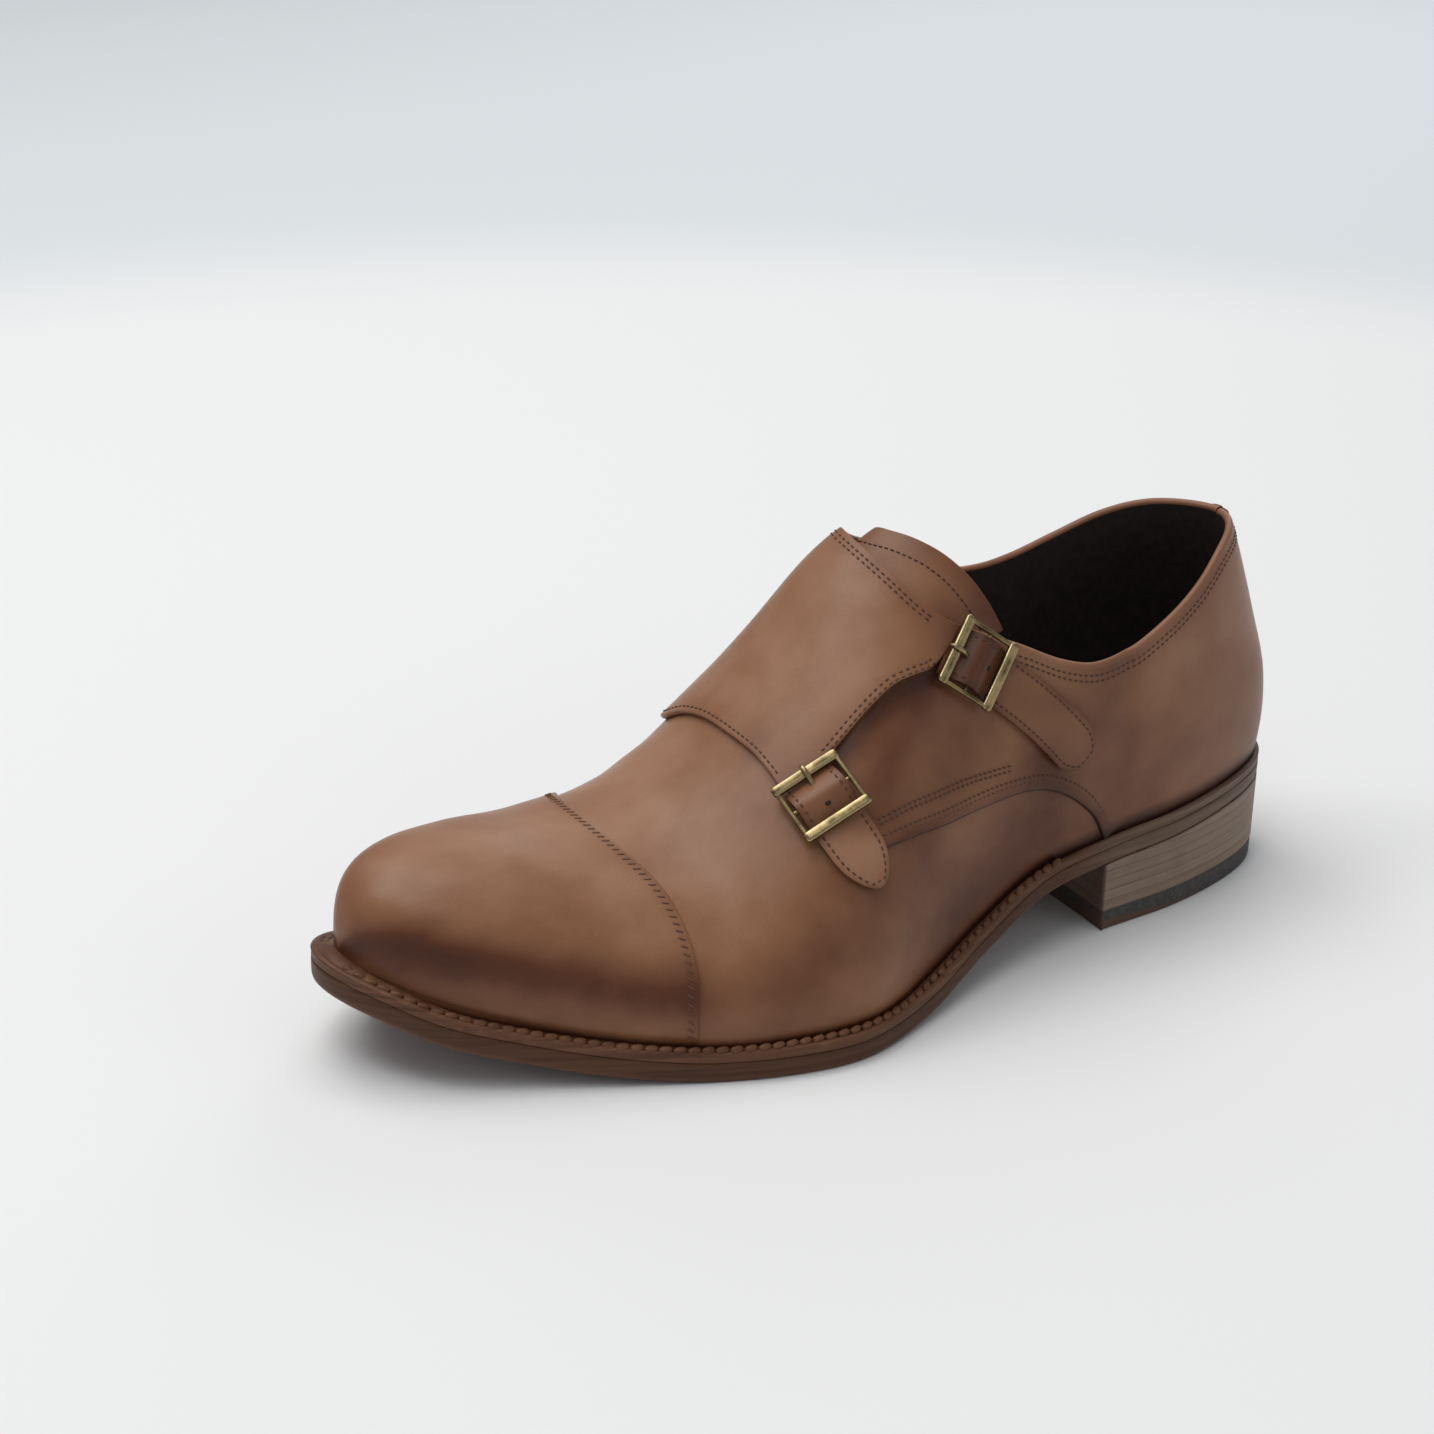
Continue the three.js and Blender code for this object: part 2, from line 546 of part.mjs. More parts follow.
// Frame on the route of a strap: place, direction towards the tip, outward normal and side.
function routeFrame(curve, share) {
  const spotAt = (s) => {
    const p = curve(THREE.MathUtils.clamp(s, 0, 1));
    return { at: p.x * 100, across: p.y };
  };
  const spot = spotAt(share);
  const origin = onLast(spot.at, spot.across, 0);
  const ahead = spotAt(share + 0.02);
  const behind = spotAt(share - 0.02);
  const forward = onLast(ahead.at, ahead.across, 0).sub(onLast(behind.at, behind.across, 0)).normalize();
  const normal = outward(stationOf(spot.at, lastStart, lastEnd), spot.across);
  const side = new THREE.Vector3().crossVectors(normal, forward).normalize();
  forward.crossVectors(side, normal);
  return { spot, origin, forward, normal, side };
}
function strapSolid(curve, spans, centre) {
  const total = spans.at(-1);
  const rows = { low: [], high: [] };
  const lengthSteps = 22;
  for (let i = 0; i <= lengthSteps; i += 1) {
    const run = (total * i) / lengthSteps;
    const frame = routeFrame(curve, shareAtRun(spans, run));
    const toTip = Math.max(total - run, 0);
    const round = Math.min(1, (toTip + 0.25) / tipRound);
    const half = (strapWidth / 2) * Math.sqrt(1 - (1 - round) ** 2.2);
    const away = Math.min(1, Math.abs(run - centre) / humpReach);
    const rise = strapLift + (strapHump * (1 + Math.cos(Math.PI * away))) / 2;
    const places = steps(4).map((share) => {
      const offset = frame.side.clone().multiplyScalar(half * (2 * share - 1));
      return spotBeside(frame.spot, offset);
    });
    rows.low.push(places.map((spot) => onLast(spot.at, spot.across, rise)));
    rows.high.push(places.map((spot) => onLast(spot.at, spot.across, rise + strapThick)));
  }
  return sheetSolid(rows.low, rows.high);
}
// Length run along a route at each of its even shares.
function runsOf(curve, count) {
  const spans = [0];
  let before = routeFrame(curve, 0).origin;
  for (let i = 1; i <= count; i += 1) {
    const next = routeFrame(curve, i / count).origin;
    spans.push(spans[i - 1] + next.distanceTo(before));
    before = next;
  }
  return spans;
}
function shareAtRun(spans, run) {
  const count = spans.length - 1;
  let i = 0;
  while (i < count - 1 && spans[i + 1] < run) i += 1;
  return Math.min(1, (i + (run - spans[i]) / (spans[i + 1] - spans[i])) / count);
}
function roundedRectangle(path, x0, y0, x1, y1, r) {
  path.moveTo(x0 + r, y0);
  path.lineTo(x1 - r, y0);
  path.absarc(x1 - r, y0 + r, r, -Math.PI / 2, 0);
  path.lineTo(x1, y1 - r);
  path.absarc(x1 - r, y1 - r, r, 0, Math.PI / 2);
  path.lineTo(x0 + r, y1);
  path.absarc(x0 + r, y1 - r, r, Math.PI / 2, Math.PI);
  path.lineTo(x0, y0 + r);
  path.absarc(x0 + r, y0 + r, r, Math.PI, 1.5 * Math.PI);
  return path;
}
// Rectangular frame with a pin across its middle, lying in its own XY plane, bars along Y.
function buckleFrame() {
  const { length, width, bar, rail, pin, thick } = buckle;
  const side = width / 2;
  const shape = roundedRectangle(new THREE.Shape(), -length / 2, -side, length / 2, side, buckleCorner);
  const edge = width / 2 - rail;
  shape.holes.push(roundedRectangle(new THREE.Path(), -length / 2 + bar, -edge, -pin / 2, edge, 0.5));
  shape.holes.push(roundedRectangle(new THREE.Path(), pin / 2, -edge, length / 2 - bar, edge, 0.5));
  return new THREE.ExtrudeGeometry(shape, { depth: thick, bevelEnabled: false, curveSegments: 3 });
}
// Prong from over the pin, along the strap, with its tip lying over the bar at the flap.
function prong() {
  const strapTop = strapLift + strapHump + strapThick - buckle.lift;
  const overStrap = strapTop + gap + prongRadius;
  const overBar = buckle.thick + gap + prongRadius;
  const reach = buckle.length / 2;
  const path = new THREE.CatmullRomCurve3([
    new THREE.Vector3(1.6, 0, overStrap),
    new THREE.Vector3(-1.4, 0, overStrap),
    new THREE.Vector3(-reach * 0.55, 0, (overStrap + overBar) / 2 + 0.35),
    new THREE.Vector3(-reach + 0.9, 0, overBar + 0.1),
    new THREE.Vector3(-reach - 0.9, 0, overBar - 0.15),
  ]);
  const section = new THREE.Shape();
  section.absarc(0, 0, prongRadius, 0, 2 * Math.PI);
  return new THREE.ExtrudeGeometry(section, { steps: 9, curveSegments: 4, extrudePath: path });
}
function closedFrom(geometry) {
  geometry.deleteAttribute('normal');
  geometry.deleteAttribute('uv');
  const merged = mergeVertices(geometry, 1e-3);
  return tidy(Array.from(merged.attributes.position.array), Array.from(merged.index.array));
}
for (const { name, route } of strapTable) {
  const curve = edgeCurve(route);
  const spans = runsOf(curve, 60);
  const centre = 1.3 + buckle.length / 2 - buckle.bar / 2;
  addPiece(`${name}_strap`, strapSolid(curve, spans, centre), 'tan');
  const frame = routeFrame(curve, shareAtRun(spans, centre));
  const turn = new THREE.Matrix4().makeBasis(frame.forward, frame.side, frame.normal);
  for (const [piece, geometry] of [['buckle', closedFrom(buckleFrame())], ['prong', closedFrom(prong())]]) {
    const mesh = addPiece(`${name}_${piece}`, geometry, 'brass');
    mesh.quaternion.setFromRotationMatrix(turn);
    mesh.position.copy(frame.origin).addScaledVector(frame.normal, buckle.lift);
  }
}

export default group;
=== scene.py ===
import bpy
import bmesh
import math
import numpy as np
from mathutils import Matrix


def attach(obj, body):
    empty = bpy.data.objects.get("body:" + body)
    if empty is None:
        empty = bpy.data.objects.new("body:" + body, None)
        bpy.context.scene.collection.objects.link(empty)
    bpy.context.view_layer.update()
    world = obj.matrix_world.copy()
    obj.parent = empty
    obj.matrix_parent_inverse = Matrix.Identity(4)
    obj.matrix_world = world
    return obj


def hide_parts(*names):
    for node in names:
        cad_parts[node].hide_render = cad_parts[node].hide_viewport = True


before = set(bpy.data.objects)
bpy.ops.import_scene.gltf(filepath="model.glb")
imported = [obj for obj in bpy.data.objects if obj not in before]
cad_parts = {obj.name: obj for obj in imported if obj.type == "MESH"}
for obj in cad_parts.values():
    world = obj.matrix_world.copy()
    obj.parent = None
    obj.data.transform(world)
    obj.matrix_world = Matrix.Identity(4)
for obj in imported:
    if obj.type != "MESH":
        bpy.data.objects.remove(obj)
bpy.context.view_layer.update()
mm = 0.001  # shapes are worked out in millimetres and put into the meshes in metres

# Shape of the last that every leather piece lies on. `at` is the distance from the toe in mm,
# `across` runs from -1 at the outer feather edge over 0 at the ridge to 1 at the inner one.
last = {
    "length": 300.0, "start": 6.4, "end": 298.5, "edgeFront": 8.8, "edgeHeel": 7.2, "gap": 0.3,
    "at": [6.4, 10, 16.4, 27, 45, 70, 100, 130, 155, 175, 195, 220, 250, 275, 292, 298.5],
    "outer": [10, -0.8, -8.8, -17, -26.5, -38.4, -50.8, -52.4, -42.5, -34.7, -29.6, -26.7, -23.8, -17.6,
        -8.3, 6],
    "inner": [10, 19.8, 27.3, 35.3, 43.5, 50.5, 53.7, 51.3, 41.4, 36.9, 35.4, 35.7, 36.6, 32.4, 20.6, 6],
    "ridgeY": [10, 14.2, 15.3, 15.4, 14.7, 13.4, 14.2, 16, 16, 14, 12, 10, 8, 7, 6.5, 6],
    "ridgeZ": [33, 46, 51, 53.3, 52.5, 50.6, 56, 80.5, 108, 120, 126, 136, 144, 146, 147, 147],
    "rise": [.6, .6, .6, .6, .59, .57, .53, .5, .48, .5, .54, .58, .6, .6, .6, .6],
    "bulge": [0, 1.6, 1.8, 2.2, 2.8, 3.1, 3.3, 3.2, 3.0, 2.5, 2.1, 2.2, 2.0, 1.4, 1.0, 0],
    "flat": [.72, .72, .72, .72, .71, .63, .52, .49, .48, .48, .54, .6, .6, .6, .55, .5],
    "riseIn": [.6, .65, .65, .64, .64, .63, .62, .59, .55, .53, .55, .6, .6, .6, .6, .6],
    "bulgeIn": [0, 1.5, 1.6, 1.8, 2.0, 2.4, 3.0, 3.1, 3.1, 3.0, 3.2, 3.6, 2.6, 1.6, 1.0, 0],
    "flatIn": [.72, .77, .77, .78, .78, .76, .74, .69, .64, .6, .66, .78, .7, .62, .6, .5],
    "backZ": [32, 45, 58, 78, 102, 126],
    "lean": [0, 1.8, 1.0, -5, -13, -22],
    "topX": [-2, 10, 26, 45, 58, 68, 80, 95, 110, 122, 134, 160],
    "topOuter": [122, 106, 98.5, 90.5, 84.3, 81.7, 83, 88.7, 96, 103, 107, 108],
    "topInner": [122, 108, 104.5, 97.5, 93, 91.8, 93, 97.5, 103.5, 106.8, 107.4, 108],
    "aboveAll": 150,  # wanted height in front of the top edge, where both sides close at the ridge
}
sole = {
    "at": [0, 8, 20, 40, 65, 85, 100, 125, 150, 175, 200, 225, 250, 275, 292, 300],
    "outer": [10, -7.5, -18.2, -28.5, -40.5, -49.2, -54.4, -57.2, -49, -38.4, -31.5, -28.4, -26, -19.6,
        -10.7, 5.9],
    "inner": [10, 26.5, 36, 45.5, 53.3, 56.4, 57.2, 56, 47.5, 40.4, 38, 38, 38.5, 34.4, 23.2, 5.9],
    "bottom": [22, 18.6, 13.2, 7.2, 2.0, 0, 0, 0, 1.6, 8.6, 17.6, 20.9, 22.6, 24.7, 26.1, 26.6],
    "breast": 223.0, "topFront": 6.0, "topRear": 6.4, "weltThick": 2.6,
}
middleAt = last["length"] / 2  # the origin lies this far behind the toe


# Cubic through the rows of a table; the slope at a row is that of the parabola through it and its neighbours.
def smooth(xs, ys, x):
    xs, ys = np.asarray(xs, float), np.asarray(ys, float)
    h = np.diff(xs)
    steep = np.diff(ys) / h
    slope = np.empty_like(xs)
    slope[1:-1] = (steep[:-1] * h[1:] + steep[1:] * h[:-1]) / (h[:-1] + h[1:])
    slope[0], slope[-1] = 1.5 * steep[0] - 0.5 * steep[1], 1.5 * steep[-1] - 0.5 * steep[-2]
    x = np.clip(x, xs[0], xs[-1])
    i = np.clip(np.searchsorted(xs, x, side="right") - 1, 0, len(xs) - 2)
    s = (x - xs[i]) / h[i]
    r = 1 - s
    ends = ys[i] * (1 + 2 * s) * r * r + ys[i + 1] * (3 - 2 * s) * s * s
    return ends + h[i] * (slope[i] * s * r * r - slope[i + 1] * s * s * r)


def softStep(x, low, high):  # 0 below low, 1 above high, smooth between
    s = np.clip((x - low) / (high - low), 0, 1)
    return s * s * (3 - 2 * s)


def hump(x, centre, width):  # bell curve, 1 at the centre
    return np.exp(-((x - centre) / width) ** 2)


# Station: 0..1 from toe to heel, crowded at both ends; its cosine falls evenly with the distance.
def stationOf(at, first, final):
    return np.arccos(1 - 2 * np.clip((at - first) / (final - first), 0, 1)) / np.pi


def atOf(station, first, final):  # the distance back from a station
    return first + (final - first) * (1 - np.cos(np.pi * station)) / 2


lastStations = stationOf(np.array(last["at"]), last["start"], last["end"])
soleStations = stationOf(np.array(sole["at"], float), 0, last["length"])
lastCurve = lambda column, station: smooth(lastStations, last[column], station)
soleCurve = lambda column, station: smooth(soleStations, sole[column], station)
stationAt = lambda at: stationOf(at, last["start"], last["end"])


def soleUnder(at):  # height of the sole's underside, never below the floor
    return np.maximum(0, smooth(sole["at"], sole["bottom"], at))


def weltTop(at):  # height of the welt's top: the underside plus an edge that thins evenly to the heel
    return soleUnder(at) + last["edgeFront"] + (last["edgeHeel"] - last["edgeFront"]) * at / last["length"]


# Point of the bare last: each side of a section is a cubic Bezier from the feather edge, steeply up
# past a slight bulge, and over to the ridge; the back leans in or out with height.
def bareLast(station, across):
    station, across = np.broadcast_arrays(np.asarray(station, float), np.asarray(across, float))
    at = atOf(station, last["start"], last["end"])
    inner = across > 0
    side = np.where(inner, 1.0, -1.0)
    tip = np.minimum(1, 3 * np.sin(np.pi * station))
    pick = lambda mine, other: np.where(inner, lastCurve(other, station), lastCurve(mine, station))
    names = (("outer", "inner"), ("rise", "riseIn"), ("bulge", "bulgeIn"), ("flat", "flatIn"))
    foot, rise, bulge, flat = (pick(*pair) for pair in names)
    low, high = weltTop(at) + last["gap"], lastCurve("ridgeZ", station)
    ridge = np.where((station < 1e-6) | (station > 1 - 1e-6), foot, lastCurve("ridgeY", station))
    s = 1 - np.abs(across)
    r = 1 - s
    bezier = lambda a, b, c, d: r ** 3 * a + 3 * s * r * r * b + 3 * s * s * r * c + s ** 3 * d
    y = bezier(foot, foot + side * bulge * tip, ridge + (foot - ridge) * flat, ridge)
    z = bezier(low, low + rise * (high - low), high, high)
    x = at - middleAt + softStep(at, 190, last["end"]) * smooth(last["backZ"], last["lean"], z)
    return np.stack([x, y, z], -1)


def unit(v):  # vectors divided by their length
    return v / np.maximum(np.linalg.norm(v, axis=-1, keepdims=True), 1e-12)


# Normal of one side of the last: cross product of short chords along and over the foot.
def sideNormal(station, side, reach):
    u, t = np.clip(station, 0.012, 0.988), side * np.clip(reach, 0.02, 0.98)
    along = bareLast(u + 0.006, t) - bareLast(u - 0.006, t)
    over = bareLast(u, t + 0.015) - bareLast(u, t - 0.015)
    return unit(np.cross(along, over))


# Outward direction: cross product of the directions along and over the foot, with the two sides blended
# at the ridge and at both ends so that they meet there.
def outward(station, across):
    station, across = np.broadcast_arrays(np.asarray(station, float), np.asarray(across, float))
    side, reach = np.where(across > 0, 1.0, -1.0), np.abs(across)
    own = 0.5 + 0.5 * np.minimum(np.minimum(1, np.minimum(station, 1 - station) / 0.03),
        np.minimum(1, reach / 0.04))
    here, other = sideNormal(station, side, reach), sideNormal(station, -side, reach)
    return unit(here * own[..., None] + other * (1 - own[..., None]))


def onLast(at, across, lift=0.0):  # point of the last, moved outward by the lift
    station = stationAt(at)
    return bareLast(station, across) + outward(station, across) * np.asarray(lift, float)[..., None]


# Spot (at, across) reached from a spot by a short vector: the vector split on the two surface directions.
def spotBeside(at, across, offset):
    here = onLast(at, across)
    along = (onLast(at + 0.5, across) - here) / 0.5
    over = (onLast(at, across + 0.01) - here) / 0.01
    aa, ao, oo = (along * along).sum(-1), (along * over).sum(-1), (over * over).sum(-1)
    oa, ob = (offset * along).sum(-1), (offset * over).sum(-1)
    whole = aa * oo - ao * ao
    return at + (oa * oo - ob * ao) / whole, across + (ob * aa - oa * ao) / whole


# Where the top edge lies on one side: the across whose height equals the edge's height there, by halving.
def topEdge(at, side, drop=0.0):
    column = "topInner" if side > 0 else "topOuter"
    low, high = np.zeros_like(at), np.ones_like(at)
    station = stationAt(at)
    for _ in range(40):
        middle = (low + high) / 2
        p = bareLast(station, side * np.maximum(middle, 1e-9))
        wanted = smooth(last["topX"], last[column], p[..., 0]) - drop
        wanted = np.where(p[..., 0] < last["topX"][0], last["aboveAll"], wanted)
        above = p[..., 2] > wanted
        low, high = np.where(above, middle, low), np.where(above, high, middle)
    return side * (low + high) / 2


# Mesh from rows by columns of points in mm; wrapped directions close on themselves, `skip` drops cells.
def gridMesh(name, points, finish, wrapRows=False, wrapColumns=False,
             skip=None, values=None, slots=None, weld=0.0, outside=None):
    rows, columns = points.shape[:2]
    index = np.arange(rows * columns).reshape(rows, columns)
    nextRow = np.roll(index, -1, 0) if wrapRows else index[1:]
    nextColumn = lambda a: np.roll(a, -1, 1) if wrapColumns else a[:, 1:]
    here = index if wrapRows else index[:-1]
    cut = (lambda a: a) if wrapColumns else (lambda a: a[:, :-1])
    faces = np.stack([cut(here), nextColumn(here), nextColumn(nextRow), cut(nextRow)], -1)
    if outside is not None:  # a sheet faces the way its outward directions point
        corner = points.reshape(-1, 3)[faces]
        facing = np.cross(corner[..., 2, :] - corner[..., 0, :], corner[..., 3, :] - corner[..., 1, :])
        if (facing * outside[:facing.shape[0], :facing.shape[1]]).sum() < 0:
            faces = faces[..., ::-1]
    keep = np.ones(faces.shape[:2], bool) if skip is None else ~skip
    slotOf = np.zeros(faces.shape[:2], int) if slots is None else slots
    return meshFrom(name, points.reshape(-1, 3), faces[keep].tolist(), finish, values, slotOf[keep], weld,
                    outside is None)


# Object from points in mm and faces, with numbers on its vertices; points closer than `weld` are joined.
def meshFrom(name, points, faces, finish, values=None, slotOf=None, weld=0.0, turnOut=True):
    mesh = bpy.data.meshes.new(name)
    mesh.from_pydata((points * mm).tolist(), [], faces)
    for key, value in (values or {}).items():
        layer = mesh.attributes.new(key, "FLOAT", "POINT")
        layer.data.foreach_set("value", np.ravel(value).astype(np.float32))
    if slotOf is not None:
        mesh.polygons.foreach_set("material_index", np.ravel(slotOf).astype(np.int32))
    mesh.polygons.foreach_set("use_smooth", np.ones(len(mesh.polygons), bool))
    body = bmesh.new()
    body.from_mesh(mesh)
    if weld:
        bmesh.ops.remove_doubles(body, verts=body.verts, dist=weld * mm)
    bmesh.ops.dissolve_degenerate(body, edges=body.edges, dist=1e-7)
    if turnOut:
        bmesh.ops.recalc_face_normals(body, faces=body.faces)
    body.to_mesh(mesh)
    body.free()
    mesh.update()
    piece = bpy.data.objects.new(name, mesh)
    bpy.context.scene.collection.objects.link(piece)
    for one in finish if isinstance(finish, (list, tuple)) else [finish]:
        mesh.materials.append(one)
    return piece


# Wall and rounded edges where wanted, then body and the nodes that the piece stands for.
def finishPiece(piece, replaced=(), thick=0.0, bevel=0.0):
    if thick:
        wall = piece.modifiers.new("wall", "SOLIDIFY")
        wall.thickness, wall.offset, wall.use_even_offset = thick * mm, -1.0, True
    if bevel:
        rounding = piece.modifiers.new("rounding", "BEVEL")
        rounding.width, rounding.segments, rounding.limit_method = bevel * mm, 3, "ANGLE"
        rounding.angle_limit = math.radians(40)
    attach(piece, "root")
    if replaced:
        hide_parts(*replaced)
    return piece


def runAlong(line):  # distance covered at each point of a line: the sum of the chords before it
    return np.concatenate([[0], np.cumsum(np.linalg.norm(np.diff(line, axis=0), axis=1))])


# Smooth line through (at, across) rows, as evenly spaced spots: a cubic through the rows by their own
# spacing, then spots at even shares of its length.
def routeLine(rows, count):
    rows = np.array(rows, float)
    run = runAlong(onLast(rows[:, 0], rows[:, 1]))
    s = np.linspace(0, run[-1], 400)
    at, across = smooth(run, rows[:, 0], s), smooth(run, rows[:, 1], s)
    fine = runAlong(onLast(at, across))
    even = np.linspace(0, fine[-1], count)
    return np.interp(even, fine, at), np.interp(even, fine, across), fine[-1]


# Frame along a line on the last: forward, outward and sideways directions.
def lineFrame(at, across):
    forward = unit(np.gradient(onLast(at, across), axis=0))
    normal = outward(stationAt(at), across)
    side = unit(np.cross(normal, forward))
    return np.cross(side, normal), normal, side


# A socket in a material; arithmetic on it adds Math nodes.
class Wire:
    def __init__(self, shader, socket):
        self.shader, self.socket = shader, socket

    def calc(self, operation, a, b):
        return self.shader.node("ShaderNodeMath", {"operation": operation}, {0: a, 1: b})

    def rise(self, low, high):  # 0 below low, 1 above high, smooth between
        limits = {0: self, 1: low, 2: high}
        return self.shader.node("ShaderNodeMapRange", {"interpolation_type": "SMOOTHSTEP"}, limits)


for sign, operation in (("add", "ADD"), ("sub", "SUBTRACT"), ("mul", "MULTIPLY"), ("truediv", "DIVIDE")):
    setattr(Wire, f"__{sign}__", lambda self, other, o=operation: self.calc(o, self, other))
    setattr(Wire, f"__r{sign}__", lambda self, other, o=operation: self.calc(o, other, self))


# A material and its nodes; a value given to a node is a number, a colour or a socket.
class Shader:
    def __init__(self, name):
        self.material = bpy.data.materials.new(name)
        self.material.use_nodes = True
        self.tree = self.material.node_tree
        self.surface = self.tree.nodes["Principled BSDF"]
        self.place = self.node("ShaderNodeTexCoord", {}, {}, "Object")

    def node(self, kind, settings, values, output=0):
        made = self.tree.nodes.new(kind)
        for key, value in settings.items():
            if key == "stops":
                ramp = made.color_ramp
                while len(ramp.elements) < len(value):
                    ramp.elements.new(0.5)
                for element, (place, colour) in zip(ramp.elements, value):
                    element.position, element.color = place, (*colour, 1)
            else:
                setattr(made, key, value)
        for key, value in values.items():
            self.feed(made.inputs[key], value)
        return Wire(self, made.outputs[output])

    def feed(self, socket, value):
        if isinstance(value, Wire):
            self.tree.links.new(value.socket, socket)
        elif socket.type == "RGBA":
            socket.default_value = (*value, 1)
        else:
            socket.default_value = value

    def mix(self, amount, a, b):  # colours
        return self.node("ShaderNodeMix", {"data_type": "RGBA"}, {0: amount, 6: a, 7: b}, 2)

    def noise(self, scale, detail, rough, stretch=None):
        at = self.place
        if stretch:
            at = self.node("ShaderNodeMapping", {}, {"Vector": at, "Scale": stretch})
        settings = {"Vector": at, "Scale": scale, "Detail": detail, "Roughness": rough}
        return self.node("ShaderNodeTexNoise", {}, settings, "Fac")

    def value(self, key):  # a number stored on the piece's own vertices
        return self.node("ShaderNodeAttribute", {"attribute_name": key}, {}, "Fac")

    def axis(self, which):
        return self.node("ShaderNodeSeparateXYZ", {}, {0: self.place}, which)

    def bumps(self, height, distance, strength=0.5):
        values = {"Height": height, "Distance": distance, "Strength": strength}
        return self.node("ShaderNodeBump", {}, values, "Normal")

    def finish(self, **inputs):
        for key, value in inputs.items():
            self.feed(self.surface.inputs[key], value)
        return self.material


leatherLook = {
    "tan": (0.238, 0.104, 0.050), "pale": (0.315, 0.160, 0.092), "brown": (0.102, 0.031, 0.012),
    "darkTone": (0.034, 0.009, 0.004), "roughness": 0.41, "cloud": 1.0,
}


# Hand-burnished calf: clouds of tone, darker where `burnish` is high (burnish and painted shade) and paler
# where it falls below nought (painted sheen), faint grain and pores.
def makeLeather(name, look):
    s = Shader(name)
    cloud = s.noise(17, 4, 0.55)
    small = s.noise(70, 5, 0.6)
    grain = s.noise(520, 4, 0.6)
    streak = s.noise(60, 4, 0.6, stretch=(0.35, 1, 1))
    burnish = s.value("burnish")
    tone = burnish + (cloud - 0.5) * look["cloud"] + (small - 0.5) * 0.3 + (streak - 0.5) * 0.22
    stops = [(0.0, look["pale"]), (0.22, look["tan"]), (0.62, look["brown"]), (1.0, look["darkTone"])]
    colour = s.node("ShaderNodeValToRGB", {"stops": stops}, {0: tone * 0.82 + 0.14}, "Color")
    colour = s.mix(grain.rise(0.62, 0.8) * 0.25, colour, look["brown"])
    cells = {"Vector": s.place, "Scale": 700.0}
    pores = s.node("ShaderNodeTexVoronoi", {"feature": "DISTANCE_TO_EDGE"}, cells, "Distance")
    creases = s.noise(120, 5, 0.65, stretch=(1, 0.5, 1))
    height = grain * 0.5 + pores.rise(0, 0.12) * 0.25 + creases * 0.6
    normal = s.bumps(height, 0.00012)
    rough = look["roughness"] + (grain - 0.5) * 0.14 + (cloud - 0.5) * 0.16 + burnish * 0.05
    return s.finish(**{"Base Color": colour, "Roughness": rough, "Normal": normal,
        "Specular IOR Level": 0.22,
                       "Coat Weight": 0.15, "Coat Roughness": 0.32})


leather = makeLeather("burnishedCalf", leatherLook)
edgeLook = {**leatherLook, "tan": (0.25, 0.11, 0.06), "pale": (0.36, 0.18, 0.11),
    "brown": (0.16, 0.062, 0.032)}
edgeLeather = makeLeather("boundEdge", edgeLook)


def makeLining():  # dark, faintly grained
    s = Shader("lining")
    grain = s.noise(400, 4, 0.6)
    colour = s.mix(grain.rise(0.35, 0.75), (0.017, 0.010, 0.008), (0.032, 0.020, 0.015))
    return s.finish(**{"Base Color": colour, "Roughness": 0.75 + grain * 0.15,
        "Normal": s.bumps(grain, 0.00015)})


def makeThread():  # dark brown, mottled by its twist
    s = Shader("thread")
    colour = s.mix(s.noise(1500, 2, 0.5), (0.042, 0.015, 0.008), (0.095, 0.038, 0.021))
    return s.finish(**{"Base Color": colour, "Roughness": 0.62})


# Edge of the sole: waxed leather, faint layers along it, scuffed lighter in places, reddish low down and
# paler at the heel.
def makeSoleEdge(name, dark, light, low=None):
    s = Shader(name)
    layers = s.noise(60, 4, 0.65, stretch=(0.25, 0.25, 9))
    scuff = s.noise(90, 5, 0.7)
    fine = s.noise(900, 3, 0.6)
    colour = s.mix(layers.rise(0.3, 0.75), dark, light)
    colour = s.mix(scuff.rise(0.58, 0.75) * 0.5, colour, tuple(c * 1.6 for c in light))
    if low:
        colour = s.mix(s.value("lowEdge"), colour, low)
    atHeel = s.mix(layers.rise(0.3, 0.75), (0.10, 0.06, 0.038), (0.17, 0.115, 0.078))
    colour = s.mix(s.axis("X").rise(0.055, 0.085) * 0.8, colour, atHeel)
    height = layers * 0.6 + fine * 0.25 + scuff * 0.3
    return s.finish(**{"Base Color": colour, "Specular IOR Level": 0.25, "Roughness": 0.5 + (scuff - 0.5)
        * 0.3,
                       "Normal": s.bumps(height, 0.00025)})


weltEdge = makeSoleEdge("weltEdge", (0.078, 0.030, 0.013), (0.16, 0.070, 0.034))
soleEdge = makeSoleEdge("soleEdge", (0.054, 0.020, 0.008), (0.105, 0.042, 0.019), (0.115, 0.05, 0.028))


def darkenHeelFront(s, colour, amount):  # darker colour on the heel's front face, which ends at x = 73 mm
    front = 1 - s.axis("X").rise(0.0728, 0.0742)
    return s.mix(front * amount, colour, (0.062, 0.024, 0.014))


